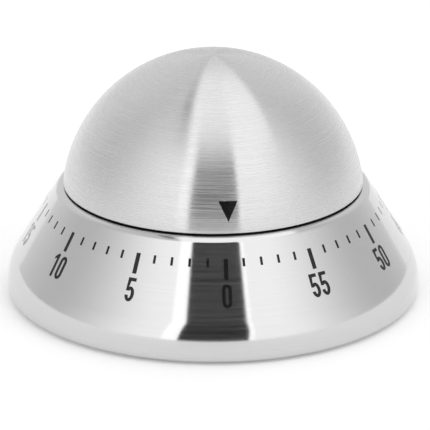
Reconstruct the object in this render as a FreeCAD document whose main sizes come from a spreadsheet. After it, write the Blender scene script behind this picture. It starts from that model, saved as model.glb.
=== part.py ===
import FreeCAD, Part
import math
import os
import Sketcher
from FreeCAD import Vector

# Wind-up kitchen timer: a steel cone base with a turning steel dome, and a clockwork with a bell inside.
# Frame: +Z up, origin at the centre of the foot ring's underside, front (the 0 mark) towards -Y.
# Lengths are in millimetres and angles in degrees.

SIZES = [
    # Steel base
    ("base_radius", 40.0, "widest radius of the base"),
    ("steel", 0.6, "sheet steel thickness"),
    ("foot_gap", 0.5, "height of the steel above the table"),
    ("band_height", 2.6, "upright band at the foot of the base"),
    ("hem_radius", 1.0, "outside radius of the hem under the band"),
    ("hem_width", 1.9, "width of the hem, turned inward"),
    ("corner_radius", 9.75, "round corner between band and cone"),
    ("cone_angle", 31.4, "slope of the cone, from upright"),
    ("crest_height", 22.1, "top of the base's rolled shoulder"),
    ("shoulder_radius", 1.94, "outside radius of the rolled shoulder"),
    ("mouth_curl", 0.8, "outside radius of the curl inside the mouth"),
    ("mouth_drop", 0.22, "straight end of the curl"),
    # Steel dome
    ("dome_gap", 0.34, "open gap between the base's crest and the dome's rim"),
    ("dome_overhang", 0.15, "how far the dome's rim stands out past the crest"),
    ("dome_drop", 3.5, "height of the dome's rim above the centre of its sphere"),
    # Plastic mouldings
    ("plastic", 1.5, "moulded wall thickness"),
    ("fit_gap", 0.1, "clearance between pieces pushed together"),
    ("turn_gap", 0.6, "clearance between the turning skirt and the turret"),
    ("skirt_inset", 2.1, "from the dome's rim to the inside of the insert's skirt"),
    ("skirt_lift", 0.46, "height of the skirt's lower edge above the dome's rim"),
    ("deck_drop", 1.5, "from the crest down to the housing's deck"),
    ("turret_height", 5.4, "height of the turret above the deck"),
    ("web_gap", 1.0, "from the turret's top up to the insert's web"),
    ("hub_radius", 5.5, "insert hub"),
    ("hub_height", 7.5, "insert hub above its web"),
    ("rib_count", 6, "ribs between the hub and the insert's edge"),
    ("turret_bore", 4.5, "hole for the shaft in the turret"),
    ("cover_thickness", 2.0, "bottom cover"),
    ("cover_lift", 0.7, "height of the cover's underside above the table"),
    ("cover_gap", 0.2, "gap around the cover"),
    ("screw_inset", 7.4, "cover screws, from the cover's edge"),
    ("boss_radius", 3.0, "screw boss"),
    ("foot_inset", 1.2, "foot ring, from the cover's edge"),
    ("foot_width", 2.6, "foot ring width"),
    ("spigot_width", 1.1, "rib of the foot ring held in the cover's groove"),
    ("spigot_height", 0.7, "height of that rib"),
    ("slot_inner", 9.0, "inner end of the sound slots"),
    ("slot_outer", 23.0, "outer end of the sound slots"),
    ("slot_width", 1.6, "width of a sound slot"),
    ("slot_count", 16, "number of sound slots"),
    # Screws
    ("screw_radius", 1.0, "thread of the small screws"),
    ("head_radius", 2.1, "screw head"),
    ("head_height", 1.0, "screw head"),
    ("head_gap", 0.3, "counterbore clearance around and under a head"),
    ("driver_slot", 0.5, "slot for the screwdriver"),
    ("screw_length", 7.0, "depth of the screw holes in the housing's bosses"),
    # Stop
    ("stop_inner", 22.0, "inner radius of the stop rib and lug"),
    ("stop_width", 2.75, "angle of the stop rib and of the lug"),
    ("stop_height", 0.7, "height of the stop rib and of the lug"),
    ("stop_angle", 210.0, "where the fixed stop rib stands"),
    ("stop_play", 0.25, "free angle left between rib and lug"),
    # Clockwork frame
    ("plate_radius", 24.5, "clockwork plates"),
    ("plate_thickness", 1.0, "clockwork plates"),
    ("plate_bottom", 10.0, "underside of the lower plate"),
    ("plate_space", 11.0, "clear height between the plates"),
    ("pillar_radius", 1.5, "plate pillars"),
    ("rivet_radius", 1.0, "riveted ends of the pillars"),
    ("pillar_circle", 22.6, "radius on which the pillars stand"),
    ("pillar_gap", 0.6, "from the first pillar to the second wheel's tips"),
    ("mount_circle", 20.0, "radius of the screws that hold the clockwork"),
    ("run_gap", 0.05, "radial clearance of a pivot in its hole"),
    ("end_gap", 0.3, "end play and side clearance of moving pieces"),
    ("arbor_radius", 0.75, "train arbors"),
    ("pivot_radius", 0.5, "pivots at the ends of the arbors"),
    ("shaft_radius", 2.0, "main shaft"),
    ("shaft_pivot", 1.2, "lower pivot of the main shaft"),
    ("shaft_flat", 1.4, "from the shaft's axis to its flat"),
    ("bush_radius", 3.5, "brass bush of the main shaft"),
    # Gear train
    ("wheel_thickness", 0.8, "all wheels"),
    ("great_teeth", 60, "great wheel"),
    ("second_teeth", 60, "second wheel"),
    ("third_teeth", 50, "third wheel"),
    ("pinion_teeth", 10, "all pinions"),
    ("escape_teeth", 30, "escape wheel"),
    ("great_module", 0.38, "great wheel and second pinion"),
    ("second_module", 0.35, "second wheel and third pinion"),
    ("third_module", 0.3, "third wheel and escape pinion"),
    ("tooth_play", 0.08, "play between meshed teeth, along the pitch circle"),
    ("window_count", 5, "round windows in a wheel"),
    ("window_circle", 0.58, "where the windows stand, as a share of the pitch radius"),
    ("window_share", 0.2, "radius of a window, as a share of the pitch radius"),
    ("third_circle", 16.5, "distance of the third arbor from the main shaft"),
    ("escape_circle", 18.3, "distance of the escape arbor from the main shaft"),
    ("pallet_circle", 18.8, "distance of the pallet arbor from the main shaft"),
    ("pallet_distance", 8.0, "from the escape arbor to the pallet arbor"),
    ("escape_radius", 5.8, "tips of the escape wheel"),
    ("escape_depth", 0.9, "depth of the escape wheel's teeth"),
    ("escape_lean", 0.15, "how far a tooth's tip leans forward, as a share of a tooth"),
    ("escape_tip", 0.15, "width of a tooth's tip, as a share of a tooth"),
    ("pin_radius", 0.35, "pallet pins"),
    ("pin_gap", 0.45, "pallet pins outside the escape wheel's tips"),
    ("pin_angle", 30.0, "each pallet pin from the line between the arbors, seen from the escape arbor"),
    ("balance_radius", 5.2, "balance weight"),
    ("escape_level", 1.5, "escape wheel above the lower plate"),
    ("second_level", 5.0, "second wheel above the lower plate"),
    ("great_level", 7.0, "great wheel above the lower plate"),
    ("third_level", 9.2, "third wheel above the lower plate"),
    ("pinion_lap", 0.4, "how far a pinion stands past its wheel"),
    ("collar_radius", 4.0, "clutch collar under the great wheel"),
    ("clutch_height", 0.7, "dished clutch spring, from the great wheel to its clip"),
    ("clip_thickness", 0.4, "shaft clip"),
    ("washer_thickness", 0.2, "sheet of the clutch spring"),
    ("cam_radius", 7.5, "bell cam"),
    ("cam_depth", 1.9, "depth of the cam's notch"),
    ("notch_half", 14.0, "half of the notch's angle"),
    # Mainspring
    ("spring_band", 0.3, "thickness of the mainspring's band"),
    ("spring_height", 4.0, "height of the mainspring's band"),
    ("spring_step", 0.5, "growth of the spring's radius in each half turn"),
    ("spring_turns", 9, "whole turns of the spring"),
    ("spring_post_radius", 0.8, "post that holds the spring's outer end"),
    ("spring_angle", 225.0, "where that post stands"),
    # Bell, hammer and release lever
    ("bell_radius", 20.0, "outside of the bell"),
    ("bell_wall", 0.8, "bell thickness"),
    ("bell_corner", 3.0, "outside radius of the bell's corner"),
    ("bell_bottom", 4.4, "underside of the bell"),
    ("bell_height", 5.0, "bell height"),
    ("bell_post_radius", 2.6, "post that carries the bell"),
    ("hammer_circle", 17.0, "distance of the hammer arbor from the main shaft"),
    ("hammer_angle", -45.0, "where the hammer arbor stands"),
    ("hammer_reach", 8.0, "from the hammer arbor to the middle of its head"),
    ("hammer_head", 1.2, "radius of the hammer's head"),
    ("hammer_gap", 0.4, "between the head at rest and the bell"),
    ("star_points", 6, "points of the striking star"),
    ("star_reach", 3.0, "tips of the striking star"),
    ("lever_circle", 18.0, "distance of the release lever's post from the main shaft"),
    ("lever_angle", 195.0, "where that post stands"),
    ("nose_angle", 150.0, "where the lever's nose rests on the cam"),
    ("nose_radius", 0.6, "the lever's nose, and half the width of its finger"),
    ("elbow_circle", 10.3, "distance of the lever's elbow from the main shaft"),
]


class Size:
    """A size worked out from the sheet: its expression, and its value at the time of building."""

    def __init__(self, text, value):
        self.text = text
        self.value = value

    def __add__(self, other):
        other = as_size(other)
        return Size(f"({self.text} + {other.text})", self.value + other.value)

    def __sub__(self, other):
        other = as_size(other)
        return Size(f"({self.text} - {other.text})", self.value - other.value)

    def __mul__(self, other):
        other = as_size(other)
        return Size(f"({self.text} * {other.text})", self.value * other.value)

    def __truediv__(self, other):
        other = as_size(other)
        return Size(f"({self.text} / {other.text})", self.value / other.value)

    def __neg__(self):
        return Size(f"(-1 * {self.text})", -self.value)

    def __radd__(self, other):
        return as_size(other) + self

    def __rsub__(self, other):
        return as_size(other) - self

    def __rmul__(self, other):
        return as_size(other) * self

    def __rtruediv__(self, other):
        return as_size(other) / self


def as_size(number):
    """A plain number as a Size."""
    if isinstance(number, Size):
        return number
    return Size(f"({number})", number)


def cosine(angle):
    angle = as_size(angle)
    return Size(f"cos({angle.text})", math.cos(math.radians(angle.value)))


def sine(angle):
    angle = as_size(angle)
    return Size(f"sin({angle.text})", math.sin(math.radians(angle.value)))


def root(number):
    return Size(f"sqrt({number.text})", math.sqrt(number.value))


def direction(x, y):
    """The angle of the vector (x, y)."""
    text = f"(atan2({as_size(y).text}; {as_size(x).text}) / 1 deg)"
    return Size(text, math.degrees(math.atan2(as_size(y).value, as_size(x).value)))


def corner_angle(side, other_side, opposite):
    """The angle between two sides of a triangle, from its three sides."""
    ratio = (side * side + other_side * other_side - opposite * opposite) / (2 * side * other_side)
    return Size(f"(acos({ratio.text}) / 1 deg)", math.degrees(math.acos(ratio.value)))


def polar(radius, angle):
    """The point at a radius and an angle about the main axis."""
    return radius * cosine(angle), radius * sine(angle)


class Round:
    """A circle in a sketch."""

    def __init__(self, x, y, radius):
        self.x = x
        self.y = y
        self.radius = radius


doc = FreeCAD.newDocument("KitchenTimer")
sheet = doc.addObject("Spreadsheet::Sheet", "Sizes")


class Sizes:
    """The sheet's cells, by alias."""


def fill_sheet():
    """Write the driving dimensions into the sheet, and give each one its alias."""
    for row, (alias, value, meaning) in enumerate(SIZES, start=1):
        sheet.set(f"A{row}", meaning)
        sheet.set(f"B{row}", str(value))
        sheet.setAlias(f"B{row}", alias)
    doc.recompute()
    for alias, _value, _meaning in SIZES:
        setattr(Sizes, alias, Size(f"Sizes.{alias}", float(getattr(sheet, alias))))


def bind(part, path, size):
    """Tie a property of an object to a size."""
    part.setExpression(path, as_size(size).text)


def pin_point(sketch, geometry, end, x, y):
    """Fix a point of a sketch at x, y, measured from the sketch's origin."""
    for kind, axis, size in (("DistanceX", -2, as_size(x)), ("DistanceY", -1, as_size(y))):
        if size.value == 0:
            sketch.addConstraint(Sketcher.Constraint("PointOnObject", geometry, end, axis))
        else:
            index = sketch.addConstraint(Sketcher.Constraint(kind, -1, 1, geometry, end, size.value))
            bind(sketch, f"Constraints[{index}]", size)


def fix_radius(sketch, geometry, radius):
    """Fix the radius of an arc or a circle."""
    index = sketch.addConstraint(Sketcher.Constraint("Radius", geometry, as_size(radius).value))
    bind(sketch, f"Constraints[{index}]", radius)


def draw_circle(sketch, circle):
    """Draw one circle, tied to the sheet."""
    centre = Vector(as_size(circle.x).value, as_size(circle.y).value, 0)
    curve = Part.Circle(centre, Vector(0, 0, 1), as_size(circle.radius).value)
    geometry = sketch.addGeometry(curve, False)
    pin_point(sketch, geometry, 3, circle.x, circle.y)
    fix_radius(sketch, geometry, circle.radius)


def arc_between(start, end, radius):
    """The short arc from start to end: counter-clockwise if radius is positive, else clockwise."""
    chord = end - start
    half = chord.Length / 2
    height = math.sqrt(max(radius * radius - half * half, 0))
    left = Vector(-chord.y, chord.x, 0).normalize()
    centre = (start + end) * 0.5 + left * math.copysign(height, radius)
    angles = [math.atan2(point.y - centre.y, point.x - centre.x) for point in (start, end)]
    if radius < 0:
        angles.reverse()
    return Part.ArcOfCircle(Part.Circle(centre, Vector(0, 0, 1), abs(radius)), angles[0], angles[1])


def draw_outline(sketch, corners):
    """Draw a closed outline, tied to the sheet.

    A corner is (x, y), or (x, y, radius) where the run to the next corner is an arc:
    counter-clockwise for a positive radius, clockwise for a negative one.
    """
    points = [Vector(as_size(corner[0]).value, as_size(corner[1]).value, 0) for corner in corners]
    runs = []
    for number, corner in enumerate(corners):
        start = points[number]
        end = points[(number + 1) % len(corners)]
        if len(corner) == 2:
            geometry = sketch.addGeometry(Part.LineSegment(start, end), False)
            runs.append((geometry, 1, 2))
            continue
        radius = as_size(corner[2])
        geometry = sketch.addGeometry(arc_between(start, end, radius.value), False)
        runs.append((geometry, 1, 2) if radius.value > 0 else (geometry, 2, 1))
    for number, corner in enumerate(corners):
        geometry, first, last = runs[number]
        following, following_first, _last = runs[(number + 1) % len(corners)]
        sketch.addConstraint(Sketcher.Constraint("Coincident", geometry, last, following, following_first))
        pin_point(sketch, geometry, first, corner[0], corner[1])
        if len(corner) == 3:
            radius = as_size(corner[2])
            fix_radius(sketch, geometry, radius if radius.value > 0 else -radius)


def new_body(name):
    body = doc.addObject("PartDesign::Body", name)
    body.Label = name
    body.AllowCompound = True
    return body


def new_sketch(body, name, role, height, drawings):
    """A sketch on one of the body's own origin planes, lifted by height."""
    plane = [feature for feature in body.Origin.OriginFeatures if feature.Role == role][0]
    sketch = body.newObject("Sketcher::SketchObject", name)
    sketch.AttachmentSupport = [(plane, "")]
    sketch.MapMode = "FlatFace"
    bind(sketch, "AttachmentOffset.Base.z", height)
    for drawing in drawings:
        if isinstance(drawing, Round):
            draw_circle(sketch, drawing)
        else:
            draw_outline(sketch, drawing)
    return sketch


def feature_name(body, kind):
    return f"{body.Label}_{kind}"


def turned(body, kind, profile, feature_type="PartDesign::Revolution"):
    """Turn a profile of (radius, height) corners about the body's axis."""
    sketch = new_sketch(body, feature_name(body, kind + "_profile"), "XZ_Plane", 0, [profile])
    feature = body.newObject(feature_type, feature_name(body, kind))
    feature.Profile = sketch
    feature.ReferenceAxis = (sketch, ["V_Axis"])
    feature.Angle = 360
    return feature


def turned_cut(body, kind, profile):
    return turned(body, kind, profile, "PartDesign::Groove")


def padded(body, kind, bottom, height, *drawings):
    """Raise flat drawings from bottom by height."""
    sketch = new_sketch(body, feature_name(body, kind + "_sketch"), "XY_Plane", bottom, drawings)
    feature = body.newObject("PartDesign::Pad", feature_name(body, kind))
    feature.Profile = sketch
    bind(feature, "Length", height)
    return feature


def pocketed(body, kind, top, depth, *drawings):
    """Cut flat drawings from top downwards by depth."""
    sketch = new_sketch(body, feature_name(body, kind + "_sketch"), "XY_Plane", top, drawings)
    feature = body.newObject("PartDesign::Pocket", feature_name(body, kind))
    feature.Profile = sketch
    bind(feature, "Length", depth)
    return feature


def repeated(body, feature, count):
    """Repeat a feature evenly about the body's axis."""
    pattern = body.newObject("PartDesign::PolarPattern", feature.Name + "_ring")
    pattern.Originals = [feature]
    pattern.Axis = (feature.Profile[0], ["N_Axis"])
    pattern.Angle = 360
    bind(pattern, "Occurrences", count)
    body.Tip = pattern


def place(part, point=(0, 0), turn=0):
    """Put a sub-part at a point of the plan, turned about its own upright axis."""
    bind(part, "Placement.Base.x", point[0])
    bind(part, "Placement.Base.y", point[1])
    bind(part, "Placement.Rotation.Angle", turn)


def shaped(name, shape):
    """A sub-part whose shape is made by formula."""
    part = doc.addObject("Part::Feature", name)
    part.Label = name
    part.Shape = shape
    return part


def ring_of_circles(places, radius):
    return [Round(x, y, radius) for x, y in places]


def ring_sector(inner, outer, start, end):
    """Part of a flat ring, between two angles less than half a turn apart."""
    inner = as_size(inner)
    outer = as_size(outer)
    return [
        polar(inner, start),
        polar(outer, start) + (outer,),
        polar(outer, end),
        polar(inner, end) + (-inner,),
    ]


def rectangle(x_low, x_high, y_low, y_high):
    return [(x_low, y_low), (x_high, y_low), (x_high, y_high), (x_low, y_high)]


def ring_profile(inner, outer, bottom, top):
    return rectangle(inner, outer, bottom, top)


def disc_profile(radius, bottom, top):
    return rectangle(0, radius, bottom, top)


# ---- Sizes worked out from the sheet ---------------------------------------------------------------

fill_sheet()

band_top = Sizes.foot_gap + Sizes.band_height
corner_x = Sizes.base_radius - Sizes.corner_radius
shoulder_z = Sizes.crest_height - Sizes.shoulder_radius
slope_rise = (shoulder_z - band_top) * sine(Sizes.cone_angle)
crest_radius = corner_x + (
    Sizes.corner_radius - Sizes.shoulder_radius - slope_rise) / cosine(Sizes.cone_angle)
mouth_bottom = Sizes.crest_height - Sizes.mouth_curl - Sizes.mouth_drop

rim_radius = crest_radius + Sizes.dome_overhang
rim_z = Sizes.crest_height + Sizes.dome_gap
sphere_z = rim_z - Sizes.dome_drop
dome_radius = root(rim_radius * rim_radius + Sizes.dome_drop * Sizes.dome_drop)

housing_gap = Sizes.steel + Sizes.fit_gap
housing_bottom = Sizes.foot_gap + Sizes.hem_radius + Sizes.fit_gap
housing_inner = Sizes.base_radius - housing_gap - Sizes.plastic
deck_top = Sizes.crest_height - Sizes.deck_drop
turret_top = deck_top + Sizes.turret_height
skirt_inner = rim_radius - Sizes.skirt_inset
turret_outer = skirt_inner - Sizes.turn_gap
web_bottom = turret_top + Sizes.web_gap
web_top = web_bottom + Sizes.plastic
hub_top = web_top + Sizes.hub_height

cover_radius = housing_inner - Sizes.cover_gap
cover_top = Sizes.cover_lift + Sizes.cover_thickness
screw_circle = cover_radius - Sizes.screw_inset
foot_outer = cover_radius - Sizes.foot_inset
foot_middle = foot_outer - Sizes.foot_width / 2
boss_reach = screw_circle + Sizes.boss_radius + Sizes.end_gap
boss_top = band_top + (
    Sizes.corner_radius - housing_gap - (boss_reach - corner_x) * cosine(Sizes.cone_angle)
) / sine(Sizes.cone_angle)

lower_top = Sizes.plate_bottom + Sizes.plate_thickness
upper_bottom = lower_top + Sizes.plate_space
upper_top = upper_bottom + Sizes.plate_thickness
escape_z = lower_top + Sizes.escape_level
second_z = lower_top + Sizes.second_level
great_z = lower_top + Sizes.great_level
third_z = lower_top + Sizes.third_level
great_top = great_z + Sizes.wheel_thickness
spring_z = lower_top + 2 * Sizes.end_gap
clip_z = great_top + Sizes.clutch_height
cam_z = third_z + Sizes.pinion_lap / 4
fork_z = escape_z + Sizes.wheel_thickness + Sizes.pinion_lap

second_distance = Sizes.great_module * (Sizes.great_teeth + Sizes.pinion_teeth) / 2
third_distance = Sizes.second_module * (Sizes.second_teeth + Sizes.pinion_teeth) / 2
escape_distance = Sizes.third_module * (Sizes.third_teeth + Sizes.pinion_teeth) / 2
third_angle = corner_angle(second_distance, Sizes.third_circle, third_distance)
escape_angle = third_angle + corner_angle(Sizes.third_circle, Sizes.escape_circle, escape_distance)
pallet_angle = escape_angle + corner_angle(
    Sizes.escape_circle, Sizes.pallet_circle, Sizes.pallet_distance)

second_place = (second_distance, as_size(0))
third_place = polar(Sizes.third_circle, third_angle)
escape_place = polar(Sizes.escape_circle, escape_angle)
pallet_place = polar(Sizes.pallet_circle, pallet_angle)
hammer_place = polar(Sizes.hammer_circle, Sizes.hammer_angle)
lever_place = polar(Sizes.lever_circle, Sizes.lever_angle)

spring_outer = Sizes.shaft_radius + Sizes.run_gap + Sizes.spring_band / 2 + (
    2 * Sizes.spring_step * Sizes.spring_turns)
spring_loop = Sizes.spring_post_radius + Sizes.run_gap + Sizes.spring_band / 2
spring_post_place = polar(spring_outer + spring_loop, Sizes.spring_angle)

second_tips = Sizes.second_module * (Sizes.second_teeth / 2 + 1)
first_pillar_angle = as_size(0) - corner_angle(
    second_distance, Sizes.pillar_circle, second_tips + Sizes.pillar_radius + Sizes.pillar_gap)
PILLAR_ANGLES = (first_pillar_angle, -112, 122, 222)
MOUNT_ANGLES = (22, 145, -100)
COVER_SCREW_ANGLES = (30, 150, 270)
pillar_places = [polar(Sizes.pillar_circle, angle) for angle in PILLAR_ANGLES]
mount_places = [polar(Sizes.mount_circle, angle) for angle in MOUNT_ANGLES]
cover_screw_places = [polar(screw_circle, angle) for angle in COVER_SCREW_ANGLES]


def cone_point(depth, centre_x, centre_z, radius):
    """Where a round corner of the base runs into the cone, at a depth below the outer surface."""
    reach = radius - depth
    return (
        centre_x + reach * cosine(Sizes.cone_angle),
        centre_z + reach * sine(Sizes.cone_angle),
    )


def cone_radius(height, depth):
    """Radius of the cone at a height, at a depth below the outer surface."""
    rise = (height - band_top) * sine(Sizes.cone_angle)
    return corner_x + (Sizes.corner_radius - depth - rise) / cosine(Sizes.cone_angle)


def sphere_reach(height, sphere_radius):
    """Radius of the dome's sphere at a height."""
    rise = height - sphere_z
    return root(sphere_radius * sphere_radius - rise * rise)


# ---- Outer pieces -----------------------------------------------------------------------------------

def make_base_shell():
    """One spun steel sheet: hem, band, round corner, cone, rolled shoulder and curl into the mouth."""
    outer = Sizes.base_radius
    inner = outer - Sizes.steel
    hem_x = outer - Sizes.hem_radius
    hem_z = Sizes.foot_gap + Sizes.hem_radius
    hem_end = outer - Sizes.hem_width
    curl_z = Sizes.crest_height - Sizes.mouth_curl
    lip = crest_radius - Sizes.mouth_curl
    body = new_body("base_shell")
    turned(body, "sheet", [
        (hem_end, Sizes.foot_gap),
        (hem_x, Sizes.foot_gap, Sizes.hem_radius),
        (outer, hem_z),
        (outer, band_top, Sizes.corner_radius),
        cone_point(0, corner_x, band_top, Sizes.corner_radius),
        cone_point(0, crest_radius, shoulder_z, Sizes.shoulder_radius) + (Sizes.shoulder_radius,),
        (crest_radius, Sizes.crest_height, Sizes.mouth_curl),
        (lip, curl_z),
        (lip, mouth_bottom),
        (lip + Sizes.steel, mouth_bottom),
        (lip + Sizes.steel, curl_z, Sizes.steel - Sizes.mouth_curl),
        (crest_radius, Sizes.crest_height - Sizes.steel, Sizes.steel - Sizes.shoulder_radius),
        cone_point(Sizes.steel, crest_radius, shoulder_z, Sizes.shoulder_radius),
        cone_point(Sizes.steel, corner_x, band_top, Sizes.corner_radius)
        + (Sizes.steel - Sizes.corner_radius,),
        (inner, band_top),
        (inner, hem_z, Sizes.steel - Sizes.hem_radius),
        (hem_x, Sizes.foot_gap + Sizes.steel),
        (hem_end, Sizes.foot_gap + Sizes.steel),
    ])


def make_dome_shell():
    """The knob: a thin spherical steel cap, open below."""
    inner = dome_radius - Sizes.steel
    body = new_body("dome_shell")
    turned(body, "cap", [
        (sphere_reach(rim_z, inner), rim_z),
        (rim_radius, rim_z, dome_radius),
        (0, sphere_z + dome_radius),
        (0, sphere_z + inner, -inner),
    ])


def make_inner_housing():
    """Moulded liner of the base, with a deck, a turret under the dome and bosses for the screws."""
    outer = Sizes.base_radius - housing_gap
    depth = housing_gap + Sizes.plastic
    deck_bottom = deck_top - Sizes.plastic
    roof_bottom = turret_top - Sizes.plastic
    turret_inner = turret_outer - Sizes.plastic
    body = new_body("inner_housing")
    turned(body, "wall", [
        (housing_inner, housing_bottom),
        (outer, housing_bottom),
        (outer, band_top, Sizes.corner_radius - housing_gap),
        cone_point(housing_gap, corner_x, band_top, Sizes.corner_radius),
        (cone_radius(deck_top, housing_gap), deck_top),
        (turret_outer, deck_top),
        (turret_outer, turret_top),
        (Sizes.turret_bore, turret_top),
        (Sizes.turret_bore, roof_bottom),
        (turret_inner, roof_bottom),
        (turret_inner, deck_bottom),
        (cone_radius(deck_bottom, depth), deck_bottom),
        cone_point(depth, corner_x, band_top, Sizes.corner_radius) + (depth - Sizes.corner_radius,),
        (housing_inner, band_top),
    ])
    padded(body, "bosses", cover_top, boss_top - cover_top,
           *ring_of_circles(cover_screw_places, Sizes.boss_radius))
    pocketed(body, "boss_holes", cover_top + Sizes.screw_length, Sizes.screw_length,
             *ring_of_circles(cover_screw_places, Sizes.screw_radius))
    padded(body, "pads", upper_top, turret_top - upper_top,
           *ring_of_circles(mount_places, Sizes.boss_radius))
    pocketed(body, "pad_holes", turret_top, turret_top - upper_top,
             *ring_of_circles(mount_places, Sizes.screw_radius + Sizes.fit_gap))
    pocketed(body, "head_seats", turret_top, Sizes.head_height + Sizes.head_gap,
             *ring_of_circles(mount_places, Sizes.head_radius + Sizes.head_gap))
    padded(body, "stop_rib", turret_top - Sizes.fit_gap, Sizes.stop_height + Sizes.fit_gap,
           ring_sector(Sizes.stop_inner, turret_outer - Sizes.plastic,
                       Sizes.stop_angle - Sizes.stop_width / 2,
                       Sizes.stop_angle + Sizes.stop_width / 2))


def make_dome_insert():
    """Moulded insert that carries the dome: skirt, web, ribs and a hub with a D-shaped bore."""
    outer_sphere = dome_radius - Sizes.steel - Sizes.run_gap
    skirt_bottom = rim_z + Sizes.skirt_lift
    bore = Sizes.shaft_radius + Sizes.run_gap / 2
    flat = Sizes.shaft_flat + Sizes.run_gap / 2
    flat_half = root(bore * bore - flat * flat)
    body = new_body("dome_insert")
    turned(body, "skirt", [
        (skirt_inner, skirt_bottom),
        (sphere_reach(skirt_bottom, outer_sphere), skirt_bottom, outer_sphere),
        (sphere_reach(web_top, outer_sphere), web_top),
        (Sizes.hub_radius, web_top),
        (Sizes.hub_radius, hub_top),
        (0, hub_top),
        (0, web_bottom),
        (skirt_inner, web_bottom),
    ])
    rib_half = Sizes.plastic / 2
    rib_height = 2 * Sizes.plastic
    rib_end = sphere_reach(web_top + rib_height, outer_sphere) - Sizes.plastic
    rib = padded(body, "rib", web_top - Sizes.fit_gap, rib_height + Sizes.fit_gap,
                 rectangle(Sizes.hub_radius - Sizes.fit_gap, rib_end, -rib_half, rib_half))
    repeated(body, rib, Sizes.rib_count)
    pocketed(body, "bore", hub_top, hub_top - web_bottom, [
        (flat_half, -flat, bore),
        (0, bore, bore),
        (-flat_half, -flat),
    ])
    lug_angle = Sizes.stop_angle - Sizes.stop_width - Sizes.stop_play
    padded(body, "stop_lug", web_bottom - Sizes.stop_height, Sizes.stop_height + Sizes.fit_gap,
           ring_sector(Sizes.stop_inner, turret_outer - Sizes.plastic,
                       lug_angle - Sizes.stop_width / 2, lug_angle + Sizes.stop_width / 2))


def make_hub_ring():
    """Steel ring that clamps the insert's hub on the shaft."""
    bottom = web_top + 2 * Sizes.plastic + Sizes.fit_gap
    body = new_body("hub_ring")
    turned(body, "band", ring_profile(
        Sizes.hub_radius, Sizes.hub_radius + Sizes.steel, bottom, bottom + 2 * Sizes.plastic))


def make_bottom_cover():
    """Moulded disc that closes the base, with sound slots, screw seats and a groove for the foot ring."""
    groove = Sizes.spigot_width / 2 + Sizes.run_gap
    seat_top = Sizes.cover_lift + Sizes.head_height + Sizes.head_gap
    half = Sizes.slot_width / 2
    body = new_body("bottom_cover")
    turned(body, "disc", disc_profile(cover_radius, Sizes.cover_lift, cover_top))
    turned_cut(body, "groove", ring_profile(
        foot_middle - groove, foot_middle + groove,
        Sizes.cover_lift, Sizes.cover_lift + Sizes.spigot_height + Sizes.fit_gap))
    pocketed(body, "screw_holes", cover_top, Sizes.cover_thickness,
             *ring_of_circles(cover_screw_places, Sizes.screw_radius + Sizes.fit_gap))
    pocketed(body, "screw_seats", seat_top, seat_top - Sizes.cover_lift,
             *ring_of_circles(cover_screw_places, Sizes.head_radius + Sizes.head_gap))
    slot = pocketed(body, "slot", cover_top, Sizes.cover_thickness, [
        (Sizes.slot_inner, -half),
        (Sizes.slot_outer, -half, half),
        (Sizes.slot_outer + half, 0, half),
        (Sizes.slot_outer, half),
        (Sizes.slot_inner, half, half),
        (Sizes.slot_inner - half, 0, half),
    ])
    repeated(body, slot, Sizes.slot_count)


def make_foot_ring():
    """Rubber ring that the timer stands on, with a rib pressed into the cover's groove."""
    inner = foot_outer - Sizes.foot_width
    rib = Sizes.spigot_width / 2
    body = new_body("foot_ring")
    turned(body, "ring", [
        (inner, 0),
        (foot_outer, 0),
        (foot_outer, Sizes.cover_lift),
        (foot_middle + rib, Sizes.cover_lift),
        (foot_middle + rib, Sizes.cover_lift + Sizes.spigot_height),
        (foot_middle - rib, Sizes.cover_lift + Sizes.spigot_height),
        (foot_middle - rib, Sizes.cover_lift),
        (inner, Sizes.cover_lift),
    ])


def make_screws(name, places, head_bottom, shank_bottom, shank_top, slot_from_above):
    """Small pan-head screws, one at each place, all in one node."""
    head_top = head_bottom + Sizes.head_height
    slot_depth = Sizes.head_height / 2
    slot_top = head_top if slot_from_above else head_bottom + slot_depth
    slot_half = Sizes.driver_slot / 2
    body = new_body(name)
    padded(body, "heads", head_bottom, Sizes.head_height, *ring_of_circles(places, Sizes.head_radius))
    padded(body, "shanks", shank_bottom, shank_top - shank_bottom,
           *ring_of_circles(places, Sizes.screw_radius))
    pocketed(body, "slots", slot_top, slot_depth, *[
        rectangle(x - Sizes.head_radius * 2, x + Sizes.head_radius * 2, y - slot_half, y + slot_half)
        for x, y in places])


def make_cover_screws():
    head_bottom = Sizes.cover_lift + Sizes.head_gap
    screw_top = cover_top + Sizes.screw_length - Sizes.screw_radius
    make_screws("cover_screws", cover_screw_places, head_bottom,
                head_bottom + Sizes.head_height, screw_top, False)


def make_movement_screws():
    head_bottom = turret_top - Sizes.head_height - Sizes.head_gap
    make_screws("movement_screws", mount_places, head_bottom, upper_bottom, head_bottom, True)


# ---- Clockwork frame --------------------------------------------------------------------------------

def pivot_holes():
    hole = Sizes.pivot_radius + Sizes.run_gap
    return ring_of_circles([second_place, third_place, escape_place, pallet_place], hole)


def make_lower_plate():
    body = new_body("lower_plate")
    padded(body, "disc", Sizes.plate_bottom, Sizes.plate_thickness, Round(0, 0, Sizes.plate_radius))
    pocketed(body, "holes", lower_top, Sizes.plate_thickness,
             Round(0, 0, Sizes.bell_post_radius),
             Round(*spring_post_place, Sizes.spring_post_radius / 2),
             Round(*hammer_place, Sizes.arbor_radius + Sizes.run_gap),
             *ring_of_circles(pillar_places, Sizes.rivet_radius),
             *pivot_holes())


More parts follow.
